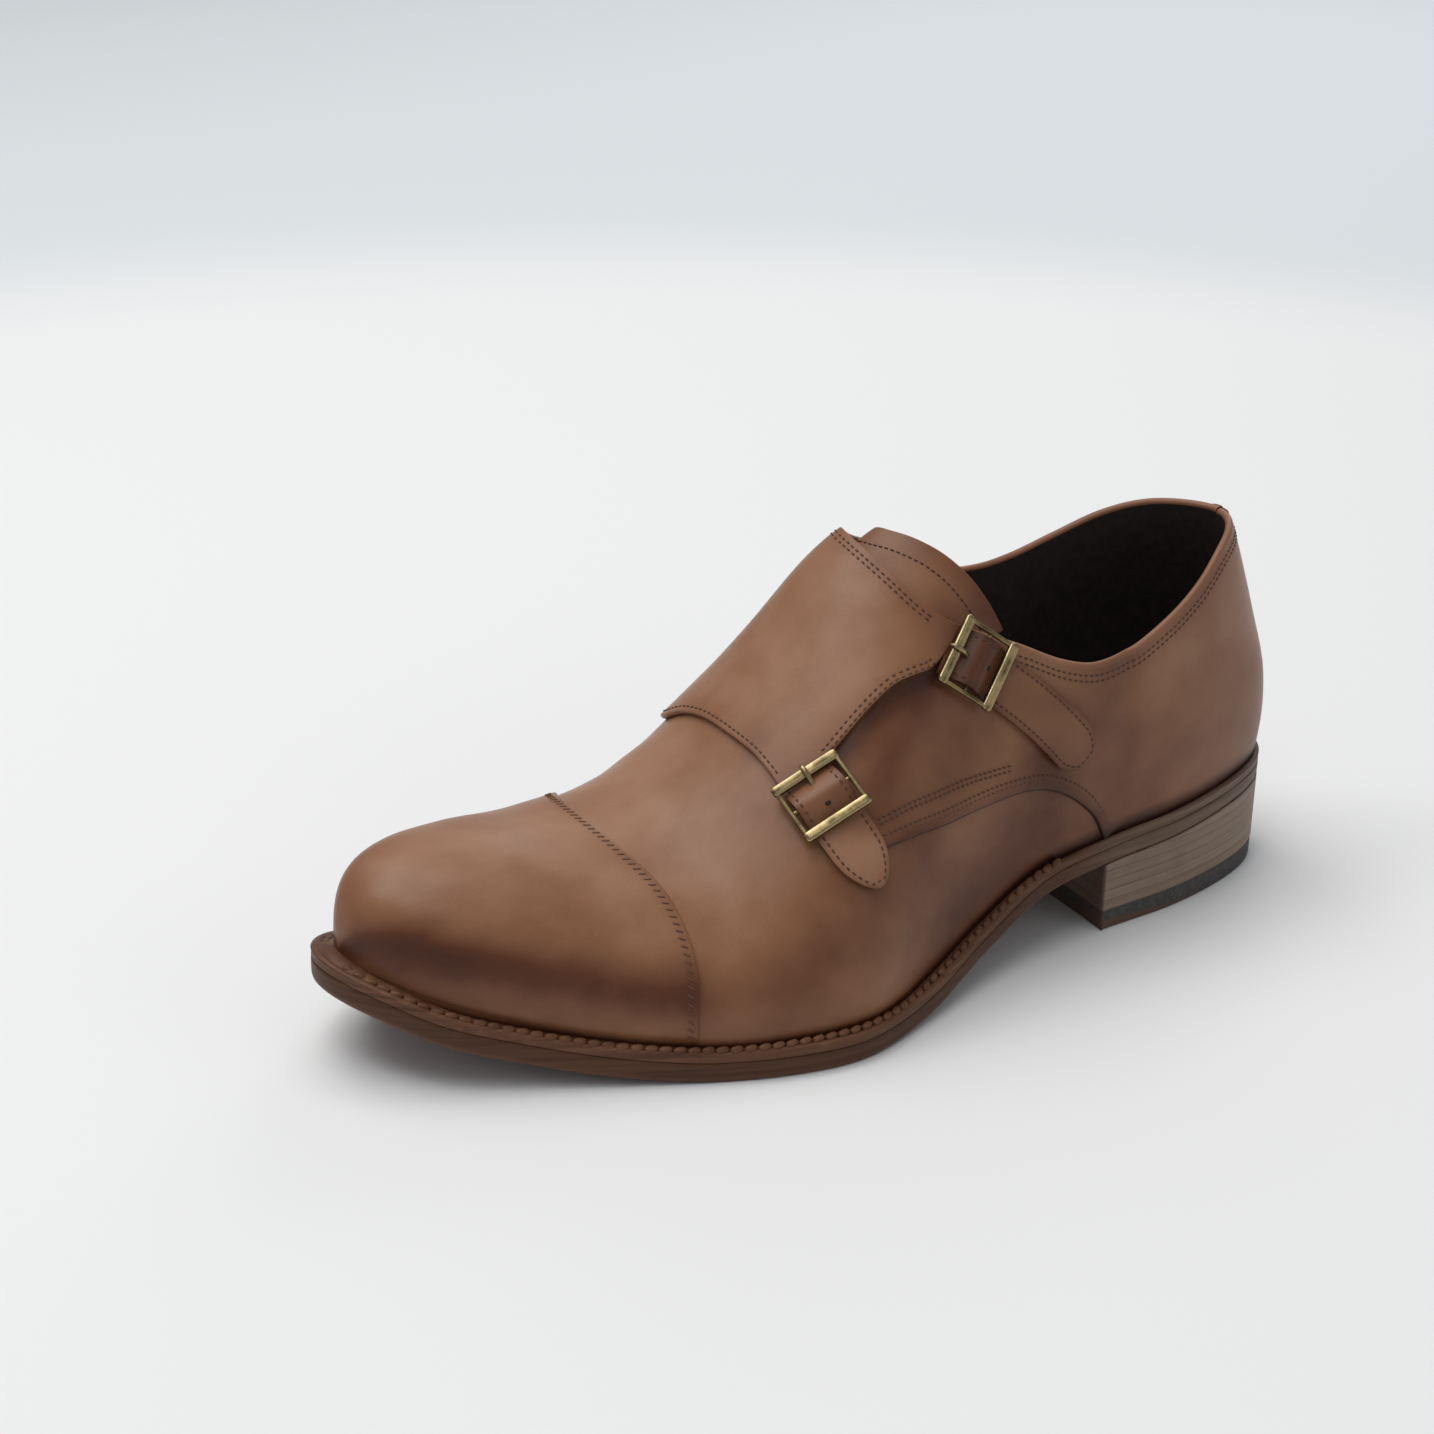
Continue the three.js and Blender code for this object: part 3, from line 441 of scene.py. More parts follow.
# Stack of leather lifts: each lift has its own tone, parted by fine dark lines, with open fibres along it.
def makeStack(liftHeight=0.0031):
    s = Shader("stackedLeather")
    count = s.axis("Z") / liftHeight
    lift = s.node("ShaderNodeMath", {"operation": "FLOOR"}, {0: count})
    tone = s.node("ShaderNodeTexWhiteNoise", {"noise_dimensions": "1D"}, {"W": lift + 3.0}, "Value")
    within = s.node("ShaderNodeMath", {"operation": "FRACT"}, {0: count})
    line = 1 - within.rise(0.0, 0.14)
    fibres = s.noise(120, 5, 0.7, stretch=(0.12, 0.12, 7))
    patches = s.noise(45, 4, 0.6)
    colour = s.mix(tone * 0.5 + (fibres - 0.5) * 0.9 + 0.2, (0.14, 0.083, 0.053), (0.29, 0.205, 0.142))
    colour = s.mix(patches.rise(0.45, 0.75) * 0.45, colour, (0.10, 0.06, 0.04))
    colour = s.mix(line * 0.6, colour, (0.05, 0.028, 0.018))
    normal = s.bumps(fibres * 0.5 - line * 0.5, 0.0003, 0.6)
    return s.finish(**{"Base Color": darkenHeelFront(s, colour, 0.85), "Roughness": 0.42 + fibres * 0.2,
        "Normal": normal})


# Rubber top piece, with a thin brown layer under it that runs out towards the back.
def makeTopPiece():
    s = Shader("topPiece")
    speck = s.noise(700, 4, 0.7)
    worn = s.noise(80, 4, 0.6)
    colour = s.mix(speck.rise(0.4, 0.7), (0.040, 0.035, 0.034), (0.080, 0.070, 0.066))
    brown = 1 - (s.axis("Z") + (s.axis("X") - 0.073) * 0.055 + (worn - 0.5) * 0.001).rise(0.0027, 0.0034)
    colour = s.mix(brown, colour, (0.10, 0.05, 0.03))
    return s.finish(**{"Base Color": darkenHeelFront(s, colour, 0.8), "Roughness": 0.6 + worn * 0.25,
                       "Normal": s.bumps(speck, 0.0002)})


# Antique brass: bright on worn edges, browned in the recesses.
def makeBrass():
    s = Shader("antiqueBrass")
    tarnish = s.noise(160, 5, 0.65)
    fine = s.noise(900, 4, 0.6)
    worn = s.value("worn")
    colour = s.mix(tarnish.rise(0.35, 0.7), (0.25, 0.175, 0.078), (0.06, 0.04, 0.019))
    colour = s.mix(worn, colour, (0.50, 0.40, 0.215))
    rough = 0.30 + tarnish.rise(0.35, 0.7) * 0.25 - worn * 0.08
    normal = s.bumps(fine * 0.5 + tarnish, 0.00012)
    return s.finish(**{"Base Color": colour, "Metallic": 1.0, "Roughness": rough, "Normal": normal})


def makePlain(name, colour, roughness):  # one colour, mottled down to six tenths of it
    s = Shader(name)
    mottled = s.mix(s.noise(600, 3, 0.6) * 0.5, colour, tuple(c * 0.6 for c in colour))
    return s.finish(**{"Base Color": mottled, "Roughness": roughness})


lining, thread, stack, topPiece, brass = makeLining(), makeThread(), makeStack(), makeTopPiece(), makeBrass()
holeShade = makePlain("paintedHoleShade", (0.012, 0.006, 0.004), 0.9)
paleThread = makePlain("paleThread", (0.115, 0.045, 0.022), 0.6)
print("materials made")


# Dark spots of burnish and painted shade, the painted shade around the lower buckle, under the straps' tails
# and between the straps: place (at, across), reach along and across, strength.
burnishAndShadeSpots = [
    (146, -0.74, 22, 0.13, 0.42), (126, -0.6, 13, 0.16, 0.3), (185, -0.93, 34, 0.11, 0.42), (104, -0.78, 22,
        0.12, 0.2),
    (118, -0.3, 12, 0.2, 0.22), (152, -0.52, 20, 0.09, 0.6), (203, -0.78, 18, 0.08, 0.45), (172, -0.64, 14,
        0.07, 0.3),
    (226, -0.72, 9, 0.2, 0.3), (150, 0.82, 26, 0.1, 0.3), (122, 0.7, 14, 0.14, 0.25), (226, 0.74, 9, 0.2,
        0.2),
]
hollowLine = {"at": [124, 134, 147, 155, 165, 172], "across": [-.366, -.378, -.398, -.414, -.45, -.47]}


# How dark the leather is at a spot, from burnish and painted shade: the sum of bell curves over the spots, on
# top of bands low on the toe, along the cap, along the welt (with painted shade in its join), a painted
# shadow in the hollow below the flap and a band over the seat.
def burnishAndShadeAt(at, across):
    low = np.abs(across)
    band = lambda c, wide: hump(low, c, wide)
    # Toe and cap bands are darker low down and on the outer side: burnish and painted shade together.
    side = 0.75 + 0.25 * softStep(-across, -0.3, 0.3)
    toe = 0.64 * side * hump(at, 8, 24) * band(0.7, 0.18) + 0.1 * hump(at, 2, 22)
    cap = side * (0.46 + 0.14 * softStep(at, 30, 72)) * band(0.73 + 0.05 * softStep(at, 40, 82), 0.12)
    cap = cap * softStep(at, 8, 30) * (1 - softStep(at, 76, 92))
    # Darker low down towards the welt and darkest in the join at the welt: burnish and painted shade
    # together.
    welt = (0.12 + 0.14 * hump(at, 60, 45)) * softStep(low, 0.72, 1.0) + 0.75 * softStep(low, 0.975, 1.0)
    # Painted shadow along the hollow below the flap's outer edge, where the flap stands off the quarter.
    hollow = np.interp(at, hollowLine["at"], hollowLine["across"]) - across
    shade = 0.85 * hump(np.maximum(0, hollow), 0, 0.055) * softStep(hollow, -0.03, 0.02)
    shade = shade * softStep(at, 125, 131) * (1 - softStep(at, 167, 174))
    seat = 0.02 * softStep(low, 0.86, 1.0) + 0.12 * softStep(at, 205, 240)
    spots = sum(strength * hump(at, a, ra) * hump(across, c, rc) for a, c, ra, rc, strength in burnishAndShadeSpots)
    return toe + cap + welt + shade + seat + spots


upperShape = {"wall": 2.2, "rows": 230, "sideColumns": 64, "lowShare": 0.72, "margin": 0.06, "roll": 1.15,
    "drop": 1.2}


# Creases: middle (at, across), how far they slant, width, reach and depth (raised where positive).
creases = [
    (108, -0.35, 14, 4.2, 0.28, -0.22), (101, -0.4, 14, 5, 0.3, 0.12), (95, -0.42, 12, 4.0, 0.22, -0.14),
    (112, 0.38, -10, 4.2, 0.26, -0.3), (105, 0.4, -10, 5, 0.28, 0.15), (99, 0.45, -10, 4, 0.2, -0.2),
    (231, -0.72, 14, 2.2, 0.14, -0.45), (236, -0.7, 14, 4, 0.16, 0.3), (150, -0.52, 60, 5, 0.12, -0.3),
]


# Worn-in shape, over the bend of the vamp and down the outer quarter: each crease is a bell curve across
# its slanting line, fading along it as another bell curve.
def creaseAt(at, across):
    rows = (depth * hump(at - slope * (across - c), a, wide) * hump(across, c, reach)
            for a, c, slope, wide, reach, depth in creases)
    return sum(rows)


# Upper on one side of the foot: a row runs from the feather edge up the outside to the top edge, rolls
# over in a half circle and runs down the inside; the outside lies on the last, the inside a wall below.
# Most columns end a margin below the top edge, or where that edge would be, so that rows keep in line
# where the throat begins.
def upperSide(side, shape):
    station = np.linspace(0, 1, shape["rows"])[:, None]
    station = station + 0.3 * np.sin(2 * np.pi * station) / (2 * np.pi)
    at = atOf(station, last["start"], last["end"])
    cut = topEdge(at, side, shape["roll"])
    opened = np.abs(cut) > 1e-6
    climb = np.linspace(0, 1, shape["sideColumns"])[None, :]
    first = int(np.argmax(opened))
    below = np.where(np.arange(len(cut))[:, None] < first, cut[first, 0], cut) + side * shape["margin"]
    low = np.minimum(1, climb / shape["lowShare"])
    high = np.maximum(0, climb - shape["lowShare"]) / (1 - shape["lowShare"])
    offRidge = lambda reach: np.where(np.abs(reach) < 1e-9, side * 1e-9, reach)
    reach = offRidge(side + (below - side) * low + (cut - below) * high)
    outside = onLast(at + 0 * reach, reach, creaseAt(at, reach))
    inner = climb[:, ::-1][:, ::2]
    reachIn = offRidge(side * 0.985 + (cut - side * 0.985) * inner)
    inside = onLast(at + 0 * reachIn, reachIn, 0 * reachIn - shape["wall"])
    edge, edgeIn = outside[:, -1:], inside[:, :1]
    middle, half = (edge + edgeIn) / 2, (edge - edgeIn) / 2
    up = unit(outside[:, -1:] - outside[:, -3:-2])
    turn = np.linspace(0, np.pi, 9)[1:-1][None, :, None]
    rim = middle + half * np.cos(turn) * 1.06 + up * shape["roll"] * np.sin(turn)
    foot = outside[:, :1] - np.array([0, 0, shape["drop"]])
    points = np.concatenate([foot, outside, rim, inside], 1)
    across = np.concatenate([reach[:, :1], reach, reach[:, -1:] + 0 * turn[..., 0], reachIn], 1)
    count = {"foot": 1, "outside": reach.shape[1], "rim": 7}
    return points, at + 0 * across, across, opened[:, 0], count


# Both sides in one mesh, joined where they meet; the rim is left out where the ridge is closed.
def makeUpper(shape):
    sides, skips, slots, values = [], [], [], []
    for side in (-1.0, 1.0):
        points, at, across, opened, count = upperSide(side, shape)
        cells = (points.shape[0] - 1, points.shape[1] - 1)
        rimFrom = count["foot"] + count["outside"] - 1
        rimTo = rimFrom + count["rim"] + 1
        column = np.arange(cells[1])[None, :] + np.zeros((cells[0], 1), int)
        closed = ~(opened[:-1] | opened[1:])[:, None]
        skips.append(closed & (column >= rimFrom) & (column < rimTo))
        onRim = np.where(closed, 0, 1)
        slots.append(np.where(column < rimFrom - 1, 0, np.where(column < rimTo, onRim, 2)))
        climbed = np.abs(points[..., 2] - points[:, rimFrom:rimFrom + 1, 2])
        values.append(burnishAndShadeAt(at, across) + 0.12 * hump(climbed, 0, 5) * opened[:, None])
        sides.append(points)
    points = np.concatenate(sides, 0)
    gap = np.ones((1, points.shape[1] - 1), bool)
    skip = np.concatenate([skips[0], gap, skips[1]], 0)
    slot = np.concatenate([slots[0], gap * 0, slots[1]], 0)
    piece = gridMesh("upperLeather", points, [leather, edgeLeather, lining], skip=skip, slots=slot,
                     values={"burnish": np.concatenate(values, 0)}, weld=0.02)
    return finishPiece(piece, ["upper"])


makeUpper(upperShape)
print("upper made")


# Sheet of leather lying on the last at a lift, with its darkening of burnish and painted shade, its thickness
# and rounded edges.
def leatherSheet(name, at, across, lift, darkTone, replaced=(), thick=0.0, bevel=0.0):
    points, outside = onLast(at, across, lift), outward(stationAt(at), across)
    piece = gridMesh(name, points, leather, values={"burnish": darkTone}, outside=outside)
    return finishPiece(piece, replaced, thick, bevel)


capShape = {"lift": 1.1, "thinner": 0.75, "reach": 0.985,
    "rearAcross": [-1, -0.85, -0.7, -0.38, -0.2, 0, 0.3, 0.43, 0.63, 0.88, 1],
            "rearAt": [81.2, 81.2, 82.8, 82.8, 79.5, 77.8, 81.8, 86.3, 88, 88, 88.2]}


# Toe cap: rows over the foot, columns from the toe to the cap's rear edge, which rolls down on the vamp.
def makeToeCap(shape):
    across = np.linspace(-shape["reach"], shape["reach"], 150)[:, None]
    rear = smooth(shape["rearAcross"], shape["rearAt"], across)
    w = np.linspace(0, 1, 110)[None, :]
    station = w * stationAt(rear)
    at = atOf(station, last["start"], last["end"])
    past = np.array([0.22, 0.4, 0.48, 0.5])[None, :]
    drop = np.array([0.07, 0.3, 0.7, 1.4])[None, :]
    at = np.concatenate([at, rear + past], 1)
    thin = 1 - shape["thinner"] * (1 - softStep(at, 14, 58))
    lift = (np.concatenate([shape["lift"] + 0 * w, shape["lift"] - drop], 1) + 0 * at) * thin
    lift = lift - 0.9 * softStep(np.abs(across) + 0 * at, 0.94, 0.985)
    points = onLast(at, across + 0 * at, lift)
    points[..., 2] = np.maximum(points[..., 2], weltTop(points[..., 0] + middleAt) - 0.3)
    darkTone = burnishAndShadeAt(at, across + 0 * at) + 0.16 * hump(rear, at, 3.2)
    piece = gridMesh("toeCap", points, leather, values={"burnish": darkTone}, weld=0.01,
                     outside=outward(stationAt(at), across + 0 * at))
    return finishPiece(piece, ["toe_cap"])


makeToeCap(capShape)
print("toe cap made")


# Edges of the flap, each from the inner side of the foot to the outer one, as (at, across).
flapShape = {
    "front": [(130, .65), (122.5, .47), (117, .29), (117.6, .15), (118.3, .02), (119, -.10), (120.2, -.22),
        (120.6, -.35)],
    "rear": [(212, .7), (205, .56), (194, .455), (180, .36), (169.5, .245), (164.2, .1), (162.6, -.095),
        (165.2, -.23), (169.8, -.342), (177.5, -.425)],
    "inner": [(130, .65), (147, .72), (168, .77), (190, .78), (212, .7)],
    "outer": [(120.6, -.35), (127, -.366), (134.2, -.378), (140, -.386), (147, -.398), (155, -.414),
        (160.5, -.434), (165, -.45), (170.5, -.448), (177.5, -.425)],
    "lift": 2.0, "thick": 1.7, "bevel": 0.5,
    # darker spots: strength, then place and width over v and over w
    "tones": [(0.06, 0.93, 0.12, 0.93, 0.22), (0.12, 0.9, 0.2, 0.1, 0.2), (0.12, 0.55, 0.1, 0.62, 0.3)],
}


def alongEdge(rows, t):  # smooth line through the rows by their spacing, at shares t
    rows = np.array(rows, float)
    run = runAlong(rows * np.array([1, 70.0]))
    return np.stack([smooth(run, rows[:, 0], t * run[-1]), smooth(run, rows[:, 1], t * run[-1])], -1)


# Spots between four edges: the two pairs are blended across and the corners taken off once.
def betweenEdges(shape, v, w):
    front, rear = alongEdge(shape["front"], v)[:, None], alongEdge(shape["rear"], v)[:, None]
    inner, outer = alongEdge(shape["inner"], w)[None], alongEdge(shape["outer"], w)[None]
    v, w = v[:, None, None], w[None, :, None]
    corners = (front[:1] * (1 - v) + front[-1:] * v) * (1 - w) + (rear[:1] * (1 - v) + rear[-1:] * v) * w
    spots = front * (1 - w) + rear * w + inner * (1 - v) + outer * v - corners
    return spots[..., 0], spots[..., 1]


def flapRunIn(at, v):  # 1 where the flap has become the quarter, at its rear inner corner
    return softStep(at, 172, 206) * (1 - v) ** 1.5


# Height of the flap: it runs into the quarter at the rear inner corner, and stands off over the instep
# at the top and along its hollow outer edge.
def flapLift(shape, at, v, w):
    proud = 1.9 * hump(v, 0.52, 0.34) * softStep(w, 0.45, 1.0) + 1.0 * softStep(v, 0.75, 1.0) * hump(w, 0.52,
        0.3)
    return shape["lift"] * (1 - 0.93 * flapRunIn(at, v)) + 0.3 * hump(v, 0.55, 0.5) * hump(w, 0.5,
        0.4) + proud


# Flap: v runs from the inner side of the foot to the outer one, w from the front edge to the rear one.
def makeFlap(shape):
    v, w = np.linspace(0, 1, 130), np.linspace(0, 1, 100)
    at, across = betweenEdges(shape, v, w)
    v, w = v[:, None], w[None, :]
    frontEdge, rearEdge, outerEdge = hump(w, 0, 0.09), hump(w, 1, 0.11), hump(v, 1, 0.05)
    innerEdge = hump(v, 0, 0.06) * (1 - flapRunIn(at, v))
    darkTone = 0.13 * frontEdge + 0.22 * rearEdge + 0.24 * outerEdge + 0.2 * innerEdge
    for strength, placeV, wideV, placeW, wideW in shape["tones"]:
        darkTone = darkTone + strength * hump(v, placeV, wideV) * hump(w, placeW, wideW)
    darkTone = darkTone + 0.12 * softStep(0.3 - v, 0, 0.3)
    lift = flapLift(shape, at, v, w)
    return leatherSheet("monkFlap", at, across, lift, darkTone, ["monk_flap"], shape["thick"], shape["bevel"])


makeFlap(flapShape)
print("flap made")


# Edge of a quarter over the vamp: a wedge carried along the seam, thick at the seam and run out behind it.
quarterSeam = {
    "outerPath": [(131, -.60), (140.2, -.647), (159, -.726), (174, -.772), (185, -.802), (192.2, -.824),
        (199.2, -.85), (206.2, -.882), (213.5, -.922), (219, -.958), (223, -1)],
    "innerPath": [(168, .77), (178, .765), (190, .79), (202, .835), (211, .88), (217, .93), (221, 1)],
    "profile": [(-0.4, -0.25), (-0.36, 0.35), (-0.15, 0.8), (0.35, 0.98), (1.5, 0.86), (4.0, 0.5),
        (8.0, 0.15), (12.0, -0.2)],
}


def makeSeam(name, path, profile, turn):
    at, across, _ = routeLine(path, 150)
    _, normal, side = lineFrame(at, across)
    points, bands = [], []
    outside = np.repeat(normal[:, None], len(profile), 1)
    for offset, lift in profile:
        a, c = spotBeside(at, across, side * offset * turn)
        c = np.clip(c, -1, 1)
        points.append(onLast(a, c, lift + 0 * a))
        bands.append(burnishAndShadeAt(a, c) + 0.26 * hump(offset, 0, 2.2) + (0.8 if offset < -0.1 else 0))
    piece = gridMesh(name, np.stack(points, 1), leather, values={"burnish": np.stack(bands, 1)},
        outside=outside)
    return finishPiece(piece)


for side, turn in (("outer", 1), ("inner", -1)):
    makeSeam(side + "QuarterEdge", quarterSeam[side + "Path"], quarterSeam["profile"], turn)

tongueShape = {"front": 134, "half": 0.5, "lift": -2.9, "thick": 1.7, "bevel": 0.5,
               "topAcross": [-0.5, -0.46, -0.365, -0.25, -0.145, -0.03, 0.1, 0.25, 0.4,
                   0.5], "topAt": [191.8, 190.5, 186.6, 180.8, 175.4, 171.2, 171.2, 177, 187, 195]}


def tongueLift(shape, across, w):  # it rises in its upper half, less towards its sides
    return shape["lift"] + 1.5 * softStep(w, 0.55, 1.0) * (1 - softStep(np.abs(across), 0.25, 0.5))


# Tongue: rows over the foot, w from its front to its top edge.
def makeTongue(shape):
    across = np.linspace(-shape["half"], shape["half"], 90)[:, None]
    top = smooth(shape["topAcross"], shape["topAt"], across)
    w = np.linspace(0, 1, 60)[None, :]
    at = shape["front"] + (top - shape["front"]) * w
    across = across + 0 * w
    # Darker towards its top edge and its outer side, and a painted shadow over its front, under the rear edge
    # of the flap.
    darkTone = 0.1 + 0.22 * hump(top, at, 5) + 0.3 * softStep(-across, 0.25, 0.5) + 0.25 * softStep(164 - at,
        -8, 6)
    lift = tongueLift(shape, across, w)
    return leatherSheet("tongueLeather", at, across, lift, darkTone, ["tongue"], shape["thick"], shape["bevel"])


makeTongue(tongueShape)
print("seams and tongue made")

# Straps: a strip along a route on the last, rising over the pin of its buckle, with a rounded tip.
strapShape = {
    "width": 14.8, "thick": 1.5, "bevel": 0.45, "lift": 1.95, "rise": 3.1, "reach": 7.2, "pinAt": 9.25,
    "bow": 0.25,
    "lower": {
        "route": [(126.4, -.345), (127.8, -.43), (129.7, -.525), (132.2, -.615), (135.0, -.70)],
        "tip": 11, "point": 1.75, "tone": -0.06,
    },
    "upper": {
        "route": [(171.5, -.44), (178.8, -.515), (187, -.594), (199, -.708), (213.5, -.845)],
        "tip": 9, "point": 2.0, "tone": 0.26,
    },
}


def strapRise(shape, run):  # half a cosine wave up to the pin and down again
    away = np.minimum(1, np.abs(run - shape["pinAt"]) / shape["reach"])
    return shape["rise"] * (1 + np.cos(np.pi * away)) / 2


# Strap: rows along its route, columns across it; the half width shrinks to nothing in a rounded tip.
def makeStrap(name, shape, one):
    at, across, length = routeLine(one["route"], 110)
    forward, normal, side = lineFrame(at, across)
    run = np.linspace(0, length, 110)
    toTip = np.minimum(1, (length - run + 0.02) / one["tip"])
    half = shape["width"] / 2 * (1 - (1 - toTip) ** one["point"]) ** (1 / one["point"])
    s = np.sin(np.linspace(-np.pi / 2, np.pi / 2, 26))[None, :]
    offset = side[:, None] * (half[:, None] * s)[..., None]
    a, c = spotBeside(at[:, None] + 0 * s, across[:, None] + 0 * s, offset)
    lift = shape["lift"] + strapRise(shape, run)[:, None] + shape["bow"] * (1 - s ** 2)
    # The strap's tone shifts its whole colour: the lower strap's paler tone is a painted sheen, the upper
    # strap's tone darkens it.
    darkTone = one["tone"] + 0.22 * hump((1 - np.abs(s)) * half[:, None], 0, 1.1)
    # Darker at the tip, with painted shade under the buckle, over the pin and by the buckle's rear bar.
    for strength, place, wide in ((0.12, length, 5), (0.42, 9, 7), (0.14, 17, 4)):
        darkTone = darkTone + strength * hump(run[:, None], place, wide)
    leatherSheet(name + "StrapLeather", a, c, lift, darkTone, [name + "_strap"], shape["thick"], shape["bevel"])
    return {"at": at, "across": across, "run": run, "length": length, "half": half,
            "forward": forward, "normal": normal, "side": side}


straps = {name: makeStrap(name, strapShape, strapShape[name]) for name in ("lower", "upper")}
print("straps made")

buckleShape = {
    "length": 18.0, "width": 19.8, "bar": 2.9, "rail": 1.35, "barThick": 2.0, "railThick": 1.35,
    "corner": 0.9, "lift": 3.25, "pin": 0.65, "prong": 0.62, "pinDrop": 0.4,
}


# Ring of section carried round a path: half-width in the plane of the path and half-height across it,
# each section a rounded box (a circle squared off by its power).
def carried(path, widthWays, heightWays, halfWidth, halfHeight, power, around):
    turn = np.linspace(0, 2 * np.pi, around + 1)[:-1][None, :]
    box = lambda f: np.sign(f) * np.abs(f) ** (2 / power)
    w, h = box(np.cos(turn)) * halfWidth[:, None], box(np.sin(turn)) * halfHeight[:, None]
    return path[:, None] + widthWays[:, None] * w[..., None] + heightWays[:, None] * h[..., None], turn


def frameOf(strap, run):  # place and directions of a buckle on its strap
    pick = lambda values: np.array([np.interp(run, strap["run"], values[:, k])
        for k in range(values.shape[1])])
    centre = pick(onLast(strap["at"], strap["across"]))
    normal, forward = unit(pick(strap["normal"])), unit(pick(strap["forward"]))
    side = unit(np.cross(normal, forward))
    return centre, np.stack([np.cross(side, normal), side, normal])


def closedEnds(points):  # a cap of cells at both ends, drawn in to their middle
    first, final = points[:1].mean(1, keepdims=True), points[-1:].mean(1, keepdims=True)
    return np.concatenate([first + 0 * points[:1], points, final + 0 * points[-1:]], 0)


# Part of a buckle: a section carried along a path and set on the strap, with its wear; the ends are closed
# unless the path is a ring. The edges of a section are worn by `share` once past `worn`.
def brassPart(name, seat, section, wear, replaced=(), ring=False):
    points, turn = carried(*section)
    points = points if ring else closedEnds(points)
    base, past, share = wear
    edges = softStep(np.abs(np.sin(2 * turn)) + 0.4 * np.sin(turn), past, past + 0.6) * share
    centre, turned = seat
    piece = gridMesh(name, points @ turned + centre, brass, wrapRows=ring, wrapColumns=True,
                     values={"worn": base + edges + 0 * points[..., 0]}, weld=0.0 if ring else 0.005)
    return finishPiece(piece, replaced)


# Buckle: a ring of rail, a thicker bar over each end of it, the pin across its middle, and the prong.
def makeBuckle(name, strap, shape):
    seat = frameOf(strap, strapShape["pinAt"])
    x, y = shape["length"] / 2 - shape["bar"] / 2, shape["width"] / 2 - shape["rail"] / 2
    r, lift = shape["corner"], shape["lift"]
    arc = np.linspace(0, np.pi / 2, 8)
    bend = lambda cx, cy, start: np.stack([cx + r * np.cos(start + arc), cy + r * np.sin(start + arc)], -1)
    middles = [(x - r, y - r), (r - x, y - r), (r - x, r - y), (x - r, r - y)]
    bends = [bend(*middle, k * np.pi / 2) for k, middle in enumerate(middles)]
    between = lambda a, b: a + (b - a) * np.linspace(0, 1, 8)[1:-1, None]
    line = np.concatenate([part for one, other in zip(bends, bends[1:] + bends[:1])
                           for part in (one, between(one[-1], other[0]))])
    path = np.concatenate([line, np.full((len(line), 1), lift)], 1)
    same = lambda path, way: np.zeros_like(path) + way
    up, ones = same(path, [0, 0, 1.0]), np.ones(len(path))
    out = np.cross(unit(np.roll(path, -1, 0) - np.roll(path, 1, 0)), up)
    section = (path, out, up, ones * shape["rail"] / 2, ones * shape["railThick"] / 2, 3.2, 16)
    brassPart(name + "BuckleFrame", seat, section, (0, 0.7, 0.3), [name + "_buckle"], ring=True)
    for end, place in (("Front", -x), ("Rear", x)):
        half = shape["width"] / 2 + 0.25
        s = np.linspace(-1, 1, 40)
        path = np.stack([0 * s + place, half * s, 0 * s + lift + 0.12 * (1 - s ** 2)], -1)
        blunt = (1 - np.abs(s) ** 26) ** 0.5 * 0.35 + 0.65
        section = (path, same(path, [1.0, 0, 0]), same(path, [0, 0, 1.0]),
                   blunt * shape["bar"] / 2, blunt * shape["barThick"] / 2, 3.6, 20)
        brassPart(name + "Buckle" + end + "Bar", seat, section, (0, 0.6, 0.75))
    across = np.linspace(-y, y, 24)
    path = np.stack([0 * across, across, 0 * across + lift - shape["pinDrop"]], -1)
    thick = shape["pin"] * np.ones(len(path))
    section = (path, same(path, [1.0, 0, 0]), same(path, [0, 0, 1.0]), thick, thick, 2, 12)
    brassPart(name + "BucklePin", seat, section, (0.2, 0, 0))
    reach = shape["length"] / 2
    rows = np.array([(-1.0, 2.2), (-3.0, 3.0), (-4.6, 3.85), (-6.0, 4.75), (-reach + 1.45, 5.15),
                     (-reach + 0.1, 4.85), (-reach - 0.7, 3.8)])
    step = np.arange(len(rows), dtype=float)
    t = np.linspace(0, step[-1], 40)
    path = np.stack([smooth(step, rows[:, 0], t), 0 * t, smooth(step, rows[:, 1], t)], -1)
    wide = same(path, [0, 1.0, 0])
    thin = shape["prong"] * (1 - 0.35 * softStep(t, 4.6, 6))
    section = (path, wide, np.cross(unit(np.gradient(path, axis=0)), wide), thin * 1.15, thin, 2.4, 12)
    brassPart(name + "BuckleProng", seat, section, (0.35, 0, 0), [name + "_prong"])


for name in ("lower", "upper"):
    makeBuckle(name, straps[name], buckleShape)
print("buckles made")


